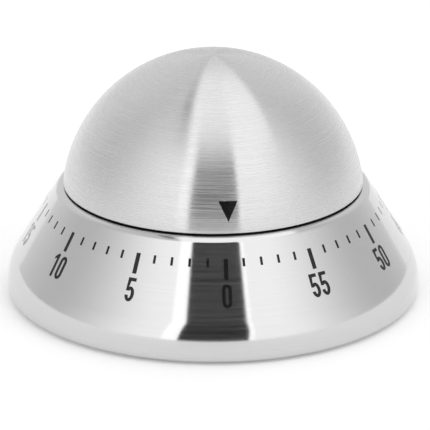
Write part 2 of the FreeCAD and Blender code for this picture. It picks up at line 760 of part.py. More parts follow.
def make_upper_plate():
    body = new_body("upper_plate")
    padded(body, "disc", upper_bottom, Sizes.plate_thickness, Round(0, 0, Sizes.plate_radius))
    pocketed(body, "holes", upper_top, Sizes.plate_thickness,
             Round(0, 0, Sizes.bush_radius),
             Round(*hammer_place, Sizes.pivot_radius + Sizes.run_gap),
             Round(*lever_place, Sizes.pivot_radius),
             *ring_of_circles(pillar_places, Sizes.rivet_radius),
             *ring_of_circles(mount_places, Sizes.screw_radius),
             *pivot_holes())


def make_plate_pillars():
    """Pillars between the plates, with thin ends riveted through both."""
    body = new_body("plate_pillars")
    padded(body, "posts", lower_top, Sizes.plate_space,
           *ring_of_circles(pillar_places, Sizes.pillar_radius))
    padded(body, "rivets", Sizes.plate_bottom, Sizes.plate_space + 2 * Sizes.plate_thickness,
           *ring_of_circles(pillar_places, Sizes.rivet_radius))


def make_shaft_bush():
    body = new_body("shaft_bush")
    turned(body, "tube", ring_profile(
        Sizes.shaft_radius + Sizes.run_gap, Sizes.bush_radius,
        upper_bottom - Sizes.end_gap, upper_top + Sizes.plate_thickness))


def make_bell_post():
    """Post riveted in the lower plate: it carries the bell below and the main shaft's pivot above."""
    flange_radius = Sizes.bell_post_radius + Sizes.plate_thickness
    flange_bottom = Sizes.plate_bottom - Sizes.plate_thickness
    bell_top = Sizes.bell_bottom + Sizes.bell_wall
    pivot_hole = Sizes.shaft_pivot + Sizes.run_gap
    screw_top = bell_top + Sizes.bell_post_radius
    body = new_body("bell_post")
    turned(body, "post", [
        (Sizes.screw_radius, Sizes.bell_bottom),
        (Sizes.screw_radius + Sizes.bell_wall, Sizes.bell_bottom),
        (Sizes.screw_radius + Sizes.bell_wall, bell_top),
        (Sizes.bell_post_radius, bell_top),
        (Sizes.bell_post_radius, flange_bottom),
        (flange_radius, flange_bottom),
        (flange_radius, Sizes.plate_bottom),
        (Sizes.bell_post_radius, Sizes.plate_bottom),
        (Sizes.bell_post_radius, lower_top),
        (pivot_hole, lower_top),
        (pivot_hole, flange_bottom),
        (0, flange_bottom),
        (0, screw_top),
        (Sizes.screw_radius, screw_top),
    ])


def make_bell():
    """A shallow steel cup, open towards the clockwork."""
    hole = Sizes.screw_radius + Sizes.bell_wall
    inner = Sizes.bell_radius - Sizes.bell_wall
    flat_end = Sizes.bell_radius - Sizes.bell_corner
    corner_z = Sizes.bell_bottom + Sizes.bell_corner
    floor = Sizes.bell_bottom + Sizes.bell_wall
    top = Sizes.bell_bottom + Sizes.bell_height
    body = new_body("bell")
    turned(body, "cup", [
        (hole, Sizes.bell_bottom),
        (flat_end, Sizes.bell_bottom, Sizes.bell_corner),
        (Sizes.bell_radius, corner_z),
        (Sizes.bell_radius, top),
        (inner, top),
        (inner, corner_z, Sizes.bell_wall - Sizes.bell_corner),
        (flat_end, floor),
        (hole, floor),
    ])


def make_bell_screw():
    head_bottom = Sizes.bell_bottom - Sizes.head_height
    body = new_body("bell_screw")
    turned(body, "screw", [
        (0, head_bottom),
        (Sizes.head_radius + Sizes.head_gap, head_bottom),
        (Sizes.head_radius + Sizes.head_gap, Sizes.bell_bottom),
        (Sizes.screw_radius, Sizes.bell_bottom),
        (Sizes.screw_radius, Sizes.bell_bottom + Sizes.bell_post_radius),
        (0, Sizes.bell_bottom + Sizes.bell_post_radius),
    ])


def make_spring_post():
    body = new_body("spring_post")
    padded(body, "post", lower_top, Sizes.spring_height + 2 * Sizes.end_gap,
           Round(0, 0, Sizes.spring_post_radius))
    padded(body, "rivet", Sizes.plate_bottom, Sizes.plate_thickness,
           Round(0, 0, Sizes.spring_post_radius / 2))
    place(body, spring_post_place)


def make_lever_post():
    """Headed post under the upper plate, on which the release lever turns."""
    head = Sizes.arbor_radius * 2
    body = new_body("lever_post")
    lever_bottom = cam_z - Sizes.end_gap
    turned(body, "post", [
        (0, lever_bottom - 2 * Sizes.end_gap),
        (head, lever_bottom - 2 * Sizes.end_gap),
        (head, lever_bottom - Sizes.run_gap),
        (Sizes.arbor_radius, lever_bottom - Sizes.run_gap),
        (Sizes.arbor_radius, upper_bottom),
        (Sizes.pivot_radius, upper_bottom),
        (Sizes.pivot_radius, upper_top),
        (0, upper_top),
    ])
    place(body, lever_place)


def make_mainspring():
    """A band coiled in half turns about two centres in turn, with a loop round its post."""
    step = Sizes.spring_step.value
    half_band = Sizes.spring_band.value / 2
    height = Vector(0, 0, Sizes.spring_height.value)
    radius = (Sizes.shaft_radius + Sizes.run_gap + Sizes.spring_band / 2).value
    bands = []
    for number in range(2 * int(Sizes.spring_turns.value)):
        odd = number % 2
        centre = Vector(step if odd else 0, 0, 0)
        side = -1 if odd else 1
        edges = []
        for reach in (radius - half_band, radius + half_band):
            start = centre + Vector(side * reach, 0, 0)
            middle = centre + Vector(0, side * reach, 0)
            edges.append(Part.Arc(start, middle, centre - Vector(side * reach, 0, 0)).toShape())
        edges.append(Part.makeLine(edges[0].Vertexes[0].Point, edges[1].Vertexes[0].Point))
        edges.append(Part.makeLine(edges[0].Vertexes[-1].Point, edges[1].Vertexes[-1].Point))
        outline = Part.Wire(Part.__sortEdges__(edges))
        bands.append(Part.Face(outline).extrude(height))
        radius += step
    loop_radius = spring_loop.value
    loop_centre = Vector(spring_outer.value + loop_radius, 0, 0)
    loop = Part.makeCylinder(loop_radius + half_band, height.z, loop_centre)
    loop = loop.cut(Part.makeCylinder(loop_radius - half_band, height.z, loop_centre))
    spring = bands[0].fuse(bands[1:] + [loop]).removeSplitter()
    spring.translate(Vector(0, 0, spring_z.value))
    place(shaped("mainspring", spring), (0, 0), Sizes.spring_angle)


# ---- Dome train: everything that turns with the dome ------------------------------------------------

def make_main_shaft():
    """Steel shaft with a flat for the knob, a clip groove and a thin lower pivot."""
    pivot_bottom = Sizes.plate_bottom - Sizes.plate_thickness + Sizes.end_gap
    groove = Sizes.shaft_radius - 2 * Sizes.run_gap - Sizes.end_gap
    shaft_top = hub_top - Sizes.plastic
    body = new_body("main_shaft")
    turned(body, "rod", [
        (0, pivot_bottom),
        (Sizes.shaft_pivot, pivot_bottom),
        (Sizes.shaft_pivot, lower_top + Sizes.fit_gap),
        (Sizes.shaft_radius, lower_top + Sizes.fit_gap),
        (Sizes.shaft_radius, clip_z),
        (groove, clip_z),
        (groove, clip_z + Sizes.clip_thickness),
        (Sizes.shaft_radius, clip_z + Sizes.clip_thickness),
        (Sizes.shaft_radius, shaft_top),
        (0, shaft_top),
    ])
    reach = 2 * Sizes.shaft_radius
    pocketed(body, "flat", shaft_top, shaft_top - web_bottom,
             rectangle(-reach, reach, -reach, -Sizes.shaft_flat))


def make_clutch_collar():
    body = new_body("clutch_collar")
    turned(body, "collar", ring_profile(
        Sizes.shaft_radius, Sizes.collar_radius, great_z - Sizes.wheel_thickness, great_z))


def make_clutch_spring():
    """Dished washer that presses the great wheel on its collar, so that the knob can be turned back."""
    foot = Sizes.collar_radius + Sizes.shaft_radius / 2
    body = new_body("clutch_spring")
    turned(body, "dish", [
        (foot, great_top),
        (foot, great_top + Sizes.washer_thickness),
        (Sizes.shaft_radius + Sizes.washer_thickness, clip_z),
        (Sizes.shaft_radius, clip_z),
        (Sizes.shaft_radius, clip_z - Sizes.washer_thickness),
        (foot - Sizes.washer_thickness, great_top),
    ])


def make_shaft_clip():
    """C-shaped clip in the shaft's groove."""
    inner = Sizes.shaft_radius - 2 * Sizes.run_gap - Sizes.end_gap
    body = new_body("shaft_clip")
    turned(body, "ring", ring_profile(
        inner, Sizes.collar_radius - Sizes.wheel_thickness, clip_z, clip_z + Sizes.clip_thickness))
    pocketed(body, "opening", clip_z + Sizes.clip_thickness, Sizes.clip_thickness,
             rectangle(0, Sizes.collar_radius * 2, -inner / 2, inner / 2))


def make_bell_cam():
    """Disc with one wide notch: the release lever drops into it when the time is up."""
    notch_inner = Sizes.cam_radius - Sizes.cam_depth
    body = new_body("bell_cam")
    padded(body, "disc", cam_z, Sizes.wheel_thickness, Round(0, 0, Sizes.cam_radius))
    pocketed(body, "bore", cam_z + Sizes.wheel_thickness, Sizes.wheel_thickness,
             Round(0, 0, Sizes.shaft_radius))
    pocketed(body, "notch", cam_z + Sizes.wheel_thickness, Sizes.wheel_thickness,
             ring_sector(notch_inner, Sizes.cam_radius + Sizes.plastic,
                         Sizes.nose_angle - Sizes.notch_half, Sizes.nose_angle + Sizes.notch_half))


# ---- Gears ------------------------------------------------------------------------------------------

PRESSURE_ANGLE = math.radians(20)
PROFILE_SHIFT = 0.45


def involute(angle):
    return math.tan(angle) - angle


def gear_solid(teeth, module, shift, bottom, thickness):
    """A spur gear with shifted involute teeth, centred on the axis, one tooth pointing along +X."""
    pitch = teeth * module / 2
    base = pitch * math.cos(PRESSURE_ANGLE)
    tip = pitch + (1.0 + shift - max(shift, 0) / 2) * module
    foot = pitch - (1.25 - shift) * module
    width = module * (math.pi / 2 + 2 * shift * math.tan(PRESSURE_ANGLE)) - Sizes.tooth_play.value / 2

    def half_angle(radius):
        """Half of the tooth's angle at a radius."""
        slant = math.acos(base / max(radius, base))
        return width / (2 * pitch) + involute(PRESSURE_ANGLE) - involute(slant)

    def point(radius, angle):
        return Vector(radius * math.cos(angle), radius * math.sin(angle), bottom)

    flank_foot = max(base, foot)
    radii = (flank_foot, (flank_foot + tip) / 2, tip)
    edges = []
    for number in range(teeth):
        middle = 2 * math.pi * number / teeth
        rising = [point(radius, middle - half_angle(radius)) for radius in radii]
        falling = [point(radius, middle + half_angle(radius)) for radius in reversed(radii)]
        foot_start = point(foot, middle - half_angle(flank_foot))
        foot_end = point(foot, middle + half_angle(flank_foot))
        next_start = point(foot, middle + 2 * math.pi / teeth - half_angle(flank_foot))
        if foot < base:
            edges.append(Part.makeLine(foot_start, rising[0]))
        edges.append(Part.Arc(*rising).toShape())
        edges.append(Part.Arc(rising[-1], point(tip, middle), falling[0]).toShape())
        edges.append(Part.Arc(*falling).toShape())
        if foot < base:
            edges.append(Part.makeLine(falling[-1], foot_end))
        edges.append(Part.Arc(foot_end, point(foot, middle + math.pi / teeth), next_start).toShape())
    return Part.Face(Part.Wire(edges)).extrude(Vector(0, 0, thickness))


def wheel_solid(teeth, module, bottom, bore):
    """A wheel with a ring of round windows that lighten it."""
    thickness = Sizes.wheel_thickness.value
    wheel = gear_solid(int(teeth.value), module.value, -PROFILE_SHIFT, bottom.value, thickness)
    pitch = teeth.value * module.value / 2
    cuts = [Part.makeCylinder(bore.value, thickness, Vector(0, 0, bottom.value))]
    circle = Sizes.window_circle.value * pitch
    windows = int(Sizes.window_count.value)
    for number in range(windows):
        angle = 2 * math.pi * (number + 0.5) / windows
        centre = Vector(circle * math.cos(angle), circle * math.sin(angle), bottom.value)
        cuts.append(Part.makeCylinder(Sizes.window_share.value * pitch, thickness, centre))
    return wheel.cut(cuts)


def arbor_solid(bottom=None):
    """An arbor between the plates, with a thin pivot at each end."""
    low = lower_top + Sizes.end_gap
    high = upper_bottom - Sizes.end_gap
    start = Sizes.plate_bottom if bottom is None else bottom
    radius = Sizes.arbor_radius.value
    pivot = Sizes.pivot_radius.value
    rod_low = low.value if bottom is None else bottom.value
    rod = Part.makeCylinder(radius, high.value - rod_low, Vector(0, 0, rod_low))
    thin = Part.makeCylinder(pivot, upper_top.value - start.value, Vector(0, 0, start.value))
    return rod.fuse(thin)


def pinion_arbor(name, module, wheel_bottom, spot, turn):
    """An arbor with its pinion, which meshes with a wheel at wheel_bottom."""
    bottom = (wheel_bottom - Sizes.pinion_lap).value
    length = (Sizes.wheel_thickness + 2 * Sizes.pinion_lap).value
    teeth = int(Sizes.pinion_teeth.value)
    pinion = gear_solid(teeth, module.value, PROFILE_SHIFT, bottom, length)
    place(shaped(name, arbor_solid().fuse(pinion).removeSplitter()), spot, turn)


def toward(start, end):
    """The direction from one place in the plan to another."""
    return direction(end[0] - start[0], end[1] - start[1])


def half_tooth(teeth):
    return 180 / as_size(teeth)


def make_great_wheel():
    wheel = wheel_solid(Sizes.great_teeth, Sizes.great_module, great_z, Sizes.shaft_radius)
    place(shaped("great_wheel", wheel), (0, 0), half_tooth(Sizes.great_teeth))


def make_second_pieces():
    """Second arbor and wheel, and the star that flicks the hammer."""
    pinion_arbor("second_arbor", Sizes.great_module, great_z, second_place, 180)
    wheel = wheel_solid(Sizes.second_teeth, Sizes.second_module, second_z, Sizes.arbor_radius)
    turn = toward(second_place, third_place) + half_tooth(Sizes.second_teeth)
    place(shaped("second_wheel", wheel), second_place, turn)
    body = new_body("striking_star")
    padded(body, "hub", third_z, Sizes.wheel_thickness, Round(0, 0, 2 * Sizes.arbor_radius))
    point = padded(body, "point", third_z, Sizes.wheel_thickness, [
        (Sizes.arbor_radius, -Sizes.arbor_radius),
        (Sizes.star_reach, -Sizes.run_gap),
        (Sizes.star_reach, Sizes.run_gap),
        (Sizes.arbor_radius, Sizes.arbor_radius),
    ])
    repeated(body, point, Sizes.star_points)
    pocketed(body, "bore", third_z + Sizes.wheel_thickness, Sizes.wheel_thickness,
             Round(0, 0, Sizes.arbor_radius))
    place(body, second_place)


def make_third_pieces():
    turn = toward(second_place, third_place) + 180
    pinion_arbor("third_arbor", Sizes.second_module, second_z, third_place, turn)
    wheel = wheel_solid(Sizes.third_teeth, Sizes.third_module, third_z, Sizes.arbor_radius)
    turn = toward(third_place, escape_place) + half_tooth(Sizes.third_teeth)
    place(shaped("third_wheel", wheel), third_place, turn)


def make_escape_pieces():
    """Escape arbor, and its wheel with pointed teeth that lean one way."""
    turn = toward(third_place, escape_place) + 180
    pinion_arbor("escape_arbor", Sizes.third_module, third_z, escape_place, turn)
    tip = Sizes.escape_radius.value
    foot = tip - Sizes.escape_depth.value
    lean = Sizes.escape_lean.value
    tip_end = lean + Sizes.escape_tip.value
    pitch_angle = 2 * math.pi / Sizes.escape_teeth.value
    corners = []
    for number in range(int(Sizes.escape_teeth.value)):
        for radius, share in ((foot, 0), (tip, lean), (tip, tip_end)):
            angle = (number + share) * pitch_angle
            corners.append(Vector(radius * math.cos(angle), radius * math.sin(angle), escape_z.value))
    thickness = Sizes.wheel_thickness.value
    wheel = Part.Face(Part.makePolygon(corners + corners[:1])).extrude(Vector(0, 0, thickness))
    bore = Part.makeCylinder(Sizes.arbor_radius.value, thickness, Vector(0, 0, escape_z.value))
    place(shaped("escape_wheel", wheel.cut(bore)), escape_place)


def make_pallet_pieces():
    """Pallet arbor, the fork with its two pins, and the weight that swings with them."""
    place(shaped("pallet_arbor", arbor_solid()), pallet_place)
    pin_circle = Sizes.escape_radius + Sizes.pin_gap + Sizes.pin_radius
    pin_x = Sizes.pallet_distance - pin_circle * cosine(Sizes.pin_angle)
    pin_y = pin_circle * sine(Sizes.pin_angle)
    arm_half = Sizes.arbor_radius
    fork = new_body("pallet_fork")
    padded(fork, "hub", fork_z, Sizes.wheel_thickness, Round(0, 0, 2 * Sizes.arbor_radius))
    for side, word in ((1, "left"), (-1, "right")):
        padded(fork, f"{word}_pad", fork_z, Sizes.wheel_thickness,
               Round(pin_x, side * pin_y, 2 * Sizes.pin_radius))
        corners = [
            (-arm_half / 2, 0),
            (arm_half / 2, 0),
            (pin_x + Sizes.pin_radius, side * pin_y),
            (pin_x - Sizes.pin_radius, side * pin_y),
        ]
        padded(fork, f"{word}_arm", fork_z, Sizes.wheel_thickness, corners)
        padded(fork, f"{word}_pin", escape_z - Sizes.end_gap, fork_z - escape_z + 2 * Sizes.end_gap,
               Round(pin_x, side * pin_y, Sizes.pin_radius))
    pocketed(fork, "bore", fork_z + Sizes.wheel_thickness, Sizes.wheel_thickness,
             Round(0, 0, Sizes.arbor_radius))
    place(fork, pallet_place, toward(pallet_place, escape_place))
    weight = new_body("balance_weight")
    rim = Sizes.balance_radius - Sizes.plastic
    turned(weight, "rim", ring_profile(
        rim, Sizes.balance_radius, third_z, third_z + Sizes.wheel_thickness))
    padded(weight, "bar", third_z, Sizes.wheel_thickness,
           rectangle(-rim - Sizes.fit_gap, rim + Sizes.fit_gap, -arm_half, arm_half))
    padded(weight, "hub", third_z, Sizes.wheel_thickness, Round(0, 0, 2 * Sizes.arbor_radius))
    pocketed(weight, "bore", third_z + Sizes.wheel_thickness, Sizes.wheel_thickness,
             Round(0, 0, Sizes.arbor_radius))
    place(weight, pallet_place)


def make_hammer_pieces():
    """Hammer arbor through the lower plate, with the tail above it and the arm and head in the bell."""
    arm_z = Sizes.plate_bottom - Sizes.end_gap - Sizes.wheel_thickness
    head_circle = Sizes.bell_radius - Sizes.bell_wall - Sizes.hammer_gap - Sizes.hammer_head
    head_bottom = Sizes.bell_bottom + Sizes.bell_corner + Sizes.end_gap
    spread = corner_angle(Sizes.hammer_circle, head_circle, Sizes.hammer_reach)
    head_place = polar(head_circle, Sizes.hammer_angle - spread)
    half = Sizes.arbor_radius
    place(shaped("hammer_arbor", arbor_solid(arm_z)), hammer_place)
    hammer = new_body("hammer")
    padded(hammer, "hub", arm_z, Sizes.wheel_thickness, Round(0, 0, 2 * Sizes.arbor_radius))
    padded(hammer, "arm", arm_z, Sizes.wheel_thickness,
           rectangle(0, Sizes.hammer_reach, -half, half))
    padded(hammer, "head", head_bottom, arm_z + Sizes.wheel_thickness - head_bottom,
           Round(Sizes.hammer_reach, 0, Sizes.hammer_head))
    pocketed(hammer, "bore", arm_z + Sizes.wheel_thickness, Sizes.wheel_thickness,
             Round(0, 0, Sizes.arbor_radius))
    place(hammer, hammer_place, toward(hammer_place, head_place))
    star_gap = 2 * Sizes.end_gap
    run_x = second_place[0] - hammer_place[0]
    run_y = second_place[1] - hammer_place[1]
    tail_reach = root(run_x * run_x + run_y * run_y) - Sizes.star_reach - star_gap
    tail = new_body("hammer_tail")
    padded(tail, "hub", third_z, Sizes.wheel_thickness, Round(0, 0, 2 * Sizes.arbor_radius))
    padded(tail, "arm", third_z, Sizes.wheel_thickness,
           rectangle(0, tail_reach, -half, half))
    pocketed(tail, "bore", third_z + Sizes.wheel_thickness, Sizes.wheel_thickness,
             Round(0, 0, Sizes.arbor_radius))
    place(tail, hammer_place, toward(hammer_place, second_place))


def bar(start, end, half_width):
    """The four corners of a straight bar between two points."""
    run_x = end[0] - start[0]
    run_y = end[1] - start[1]
    length = root(run_x * run_x + run_y * run_y)
    side_x = half_width * run_y / length
    side_y = half_width * run_x / length
    return [
        (start[0] + side_x, start[1] - side_y),
        (end[0] + side_x, end[1] - side_y),
        (end[0] - side_x, end[1] + side_y),
        (start[0] - side_x, start[1] + side_y),
    ]


def make_release_lever():
    """Bent lever whose nose rides on the bell cam: an arm past the cam, and a finger toward its axis."""
    nose_circle = Sizes.cam_radius + Sizes.nose_radius + Sizes.fit_gap
    nose_x, nose_y = polar(nose_circle, Sizes.nose_angle)
    elbow_x, elbow_y = polar(Sizes.elbow_circle, Sizes.nose_angle)
    nose = (nose_x - lever_place[0], nose_y - lever_place[1])
    elbow = (elbow_x - lever_place[0], elbow_y - lever_place[1])
    hub = 2 * Sizes.arbor_radius
    thickness = Sizes.wheel_thickness
    body = new_body("release_lever")
    padded(body, "hub", cam_z - Sizes.end_gap, thickness + Sizes.end_gap, Round(0, 0, hub))
    padded(body, "elbow", cam_z, thickness, Round(*elbow, Sizes.nose_radius))
    padded(body, "arm", cam_z, thickness, bar((as_size(0), as_size(0)), elbow, Sizes.nose_radius))
    padded(body, "finger", cam_z, thickness, bar(elbow, nose, Sizes.nose_radius))
    padded(body, "nose", cam_z, thickness, Round(*nose, Sizes.nose_radius))
    pocketed(body, "bore", cam_z + thickness, thickness + Sizes.end_gap,
             Round(0, 0, Sizes.arbor_radius + Sizes.run_gap))
    place(body, lever_place)


# ---- Build, check and write -------------------------------------------------------------------------

MAKERS = [
    make_base_shell, make_dome_shell, make_inner_housing, make_dome_insert, make_hub_ring,
    make_bottom_cover, make_foot_ring, make_cover_screws, make_movement_screws,
    make_lower_plate, make_upper_plate, make_plate_pillars, make_shaft_bush,
    make_bell_post, make_bell, make_bell_screw, make_spring_post, make_lever_post, make_mainspring,
    make_main_shaft, make_clutch_collar, make_clutch_spring, make_shaft_clip, make_bell_cam,
    make_great_wheel, make_second_pieces, make_third_pieces, make_escape_pieces,
    make_pallet_pieces, make_hammer_pieces, make_release_lever,
]


def check_document():
    """Stop if any object failed, or if a cut took nothing away."""
    for item in doc.Objects:
        if "Invalid" in item.State or "Error" in item.State:
            raise RuntimeError(f"{item.Name} failed: {item.State}")
        if item.TypeId in ("PartDesign::Pocket", "PartDesign::Groove"):
            if item.Shape.Volume >= item.BaseFeature.Shape.Volume:
                raise RuntimeError(f"{item.Name} cuts nothing")


def write_parts():
    """Check every sub-part's shape, then write each one to its own file."""
    parts = [item for item in doc.Objects if item.TypeId in ("PartDesign::Body", "Part::Feature")]
    for part in parts:
        if part.Shape.isNull() or not part.Shape.isValid():
            raise RuntimeError(f"{part.Label} has no valid shape")
    os.makedirs("parts", exist_ok=True)
    for part in parts:
        part.Shape.exportStep(f"parts/{part.Label}.step")
    print(f"{len(parts)} sub-parts written")


for make in MAKERS:
    make()
doc.recompute()
check_document()
write_parts()
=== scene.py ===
import math

import bmesh
import bpy
from bpy.props import FloatProperty, FloatVectorProperty, IntProperty, PointerProperty
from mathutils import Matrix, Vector
from mathutils.geometry import tessellate_polygon


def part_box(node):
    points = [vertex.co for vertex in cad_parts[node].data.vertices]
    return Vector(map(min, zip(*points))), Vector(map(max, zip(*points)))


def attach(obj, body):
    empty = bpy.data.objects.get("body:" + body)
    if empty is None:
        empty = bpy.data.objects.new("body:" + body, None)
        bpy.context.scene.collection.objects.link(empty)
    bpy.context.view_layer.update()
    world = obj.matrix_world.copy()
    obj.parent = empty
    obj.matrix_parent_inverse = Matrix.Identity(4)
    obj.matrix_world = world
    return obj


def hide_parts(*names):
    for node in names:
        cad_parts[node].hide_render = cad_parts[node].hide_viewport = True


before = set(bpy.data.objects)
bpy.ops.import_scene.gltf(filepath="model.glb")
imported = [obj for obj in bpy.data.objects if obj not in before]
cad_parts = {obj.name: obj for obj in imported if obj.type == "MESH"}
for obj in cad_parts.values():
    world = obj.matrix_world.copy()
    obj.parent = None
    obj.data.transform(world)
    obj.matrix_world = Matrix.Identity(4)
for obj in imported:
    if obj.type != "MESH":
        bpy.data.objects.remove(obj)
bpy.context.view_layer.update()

bl_info = {
    "name": "Wind-up Kitchen Timer",
    "version": (1, 0, 0),
    "blender": (4, 5, 0),
    "location": "View3D > Sidebar > Timer",
    "description": "Builds the looks of a wind-up kitchen timer round its packed frame",
    "category": "Object",
}

MM = 0.001


# ---- Settings ---------------------------------------------------------------------------------------

def length(name, description, millimetres):
    """A length property, given in millimetres and kept in metres."""
    return FloatProperty(
        name=name, description=description, default=millimetres * MM, precision=5, unit="LENGTH")


def angle(name, description, degrees):
    return FloatProperty(
        name=name, description=description, default=math.radians(degrees), subtype="ANGLE")


def colour(name, description, value):
    return FloatVectorProperty(
        name=name, description=description, default=value, size=3, min=0.0, max=1.0, subtype="COLOR")


def count(name, description, value):
    return IntProperty(name=name, description=description, default=value, min=3)


class TimerSizes(bpy.types.PropertyGroup):
    """Sizes of the pieces that are made here, beside those read from the frame."""

    sheet: length("Sheet", "Thickness of the steel sheet", 0.6)
    band_height: length("Band height", "Upright band at the foot of the base", 2.6)
    hem_radius: length("Hem radius", "Round edge under the band", 1.0)
    hem_width: length("Hem width", "Sheet turned inward under the band", 1.9)
    corner_radius: length("Corner radius", "Round corner between band and cone", 9.75)
    cone_angle: angle("Cone angle", "Slope of the cone from upright", 31.4)
    shoulder_radius: length("Shoulder radius", "Rolled shoulder at the top of the base", 1.94)
    mouth_curl: length("Mouth curl", "Curl of the sheet inside the mouth", 0.8)
    mouth_drop: length("Mouth drop", "Straight end of the curl", 0.22)
    rim_round: length("Rim round", "Rounding of the dome's cut edge", 0.18)
    around: count("Segments around", "Segments of each turned piece", 256)
    ink_height: length("Ink height", "How far the print stands out of the steel", 0.012)
    ink_depth: length("Ink depth", "How far the print reaches into the steel", 0.03)
    mark_top: length("Mark top", "From the shoulder down to the minute marks", 2.96)
    minute_length: length("Minute mark length", "Length of a one-minute mark", 1.62)
    minute_width: length("Minute mark width", "Width of a one-minute mark", 0.5)
    five_length: length("Five-minute mark length", "Length of a five-minute mark", 4.05)
    five_width: length("Five-minute mark width", "Width of a five-minute mark", 0.86)
    numeral_top: length("Numeral top", "From the shoulder down to the numerals", 7.82)
    numeral_height: length("Numeral height", "Height of a numeral", 4.62)
    numeral_width: length("Numeral width", "Width of one digit", 1.9)
    numeral_stroke: length("Numeral stroke", "Width of the strokes", 0.68)
    numeral_gap: length("Numeral gap", "Gap between two digits", 0.3)
    pointer_width: length("Pointer width", "Width of the pointer on the dome", 3.65)
    pointer_low: angle("Pointer tip", "Elevation of the pointer's tip on the dome", 11.4)
    pointer_high: angle("Pointer top", "Elevation of the pointer's upper edge", 19.1)
    pointer_turn: angle("Pointer turn", "How far past the 0 mark the pointer stands at rest", 1.6)


class TimerColours(bpy.types.PropertyGroup):
    """Colours of the finishes."""

    base_steel: colour("Base steel", "Bright brushed steel of the base", (0.64, 0.64, 0.64))
    dome_steel: colour("Dome steel", "Satin brushed steel of the dome", (0.65, 0.65, 0.65))
    plate_steel: colour("Plate steel", "Stamped steel of the clockwork", (0.50, 0.50, 0.49))
    dark_steel: colour("Spring steel", "Blued spring steel", (0.16, 0.18, 0.24))
    bright_steel: colour("Turned steel", "Turned and polished steel", (0.62, 0.62, 0.62))
    zinc: colour("Zinc", "Plated screws", (0.58, 0.60, 0.63))
    brass: colour("Brass", "Stamped brass", (0.76, 0.55, 0.22))
    plastic: colour("Plastic", "Black moulded plastic", (0.018, 0.018, 0.019))
    rubber: colour("Rubber", "Foot ring", (0.025, 0.025, 0.026))
    ink: colour("Ink", "Printed scale", (0.006, 0.006, 0.006))
    floor: colour("Floor", "Table under the timer", (0.90, 0.90, 0.90))


# ---- Materials --------------------------------------------------------------------------------------

class Shading:
    """A node tree in the making."""

    def __init__(self, tree):
        self.nodes = tree.nodes
        self.links = tree.links

    def add(self, kind, **settings):
        node = self.nodes.new(kind)
        for key, value in settings.items():
            setattr(node, key, value)
        return node

    def link(self, source, target):
        self.links.new(source, target)

    def math(self, operation, *values):
        node = self.add("ShaderNodeMath", operation=operation)
        for socket, value in zip(node.inputs, values):
            if isinstance(value, (int, float)):
                socket.default_value = value
            else:
                self.link(value, socket)
        return node.outputs[0]

    def spread(self, value, low, high, from_low=0.3, from_high=0.7, interpolation="LINEAR"):
        """Map a value to a range."""
        node = self.add("ShaderNodeMapRange", interpolation_type=interpolation)
        node.inputs["From Min"].default_value = from_low
        node.inputs["From Max"].default_value = from_high
        node.inputs["To Min"].default_value = low
        node.inputs["To Max"].default_value = high
        self.link(value, node.inputs["Value"])
        return node.outputs["Result"]

    def step(self, value, start, end):
        """Rise smoothly from 0 to 1 between two values."""
        return self.spread(value, 0.0, 1.0, start, end, "SMOOTHSTEP")

    def blend(self, share, first, second):
        """Mix two values: first at 0, second at 1."""
        kept = self.math("MULTIPLY", first, self.math("SUBTRACT", 1.0, share))
        return self.math("ADD", kept, self.math("MULTIPLY", second, share))


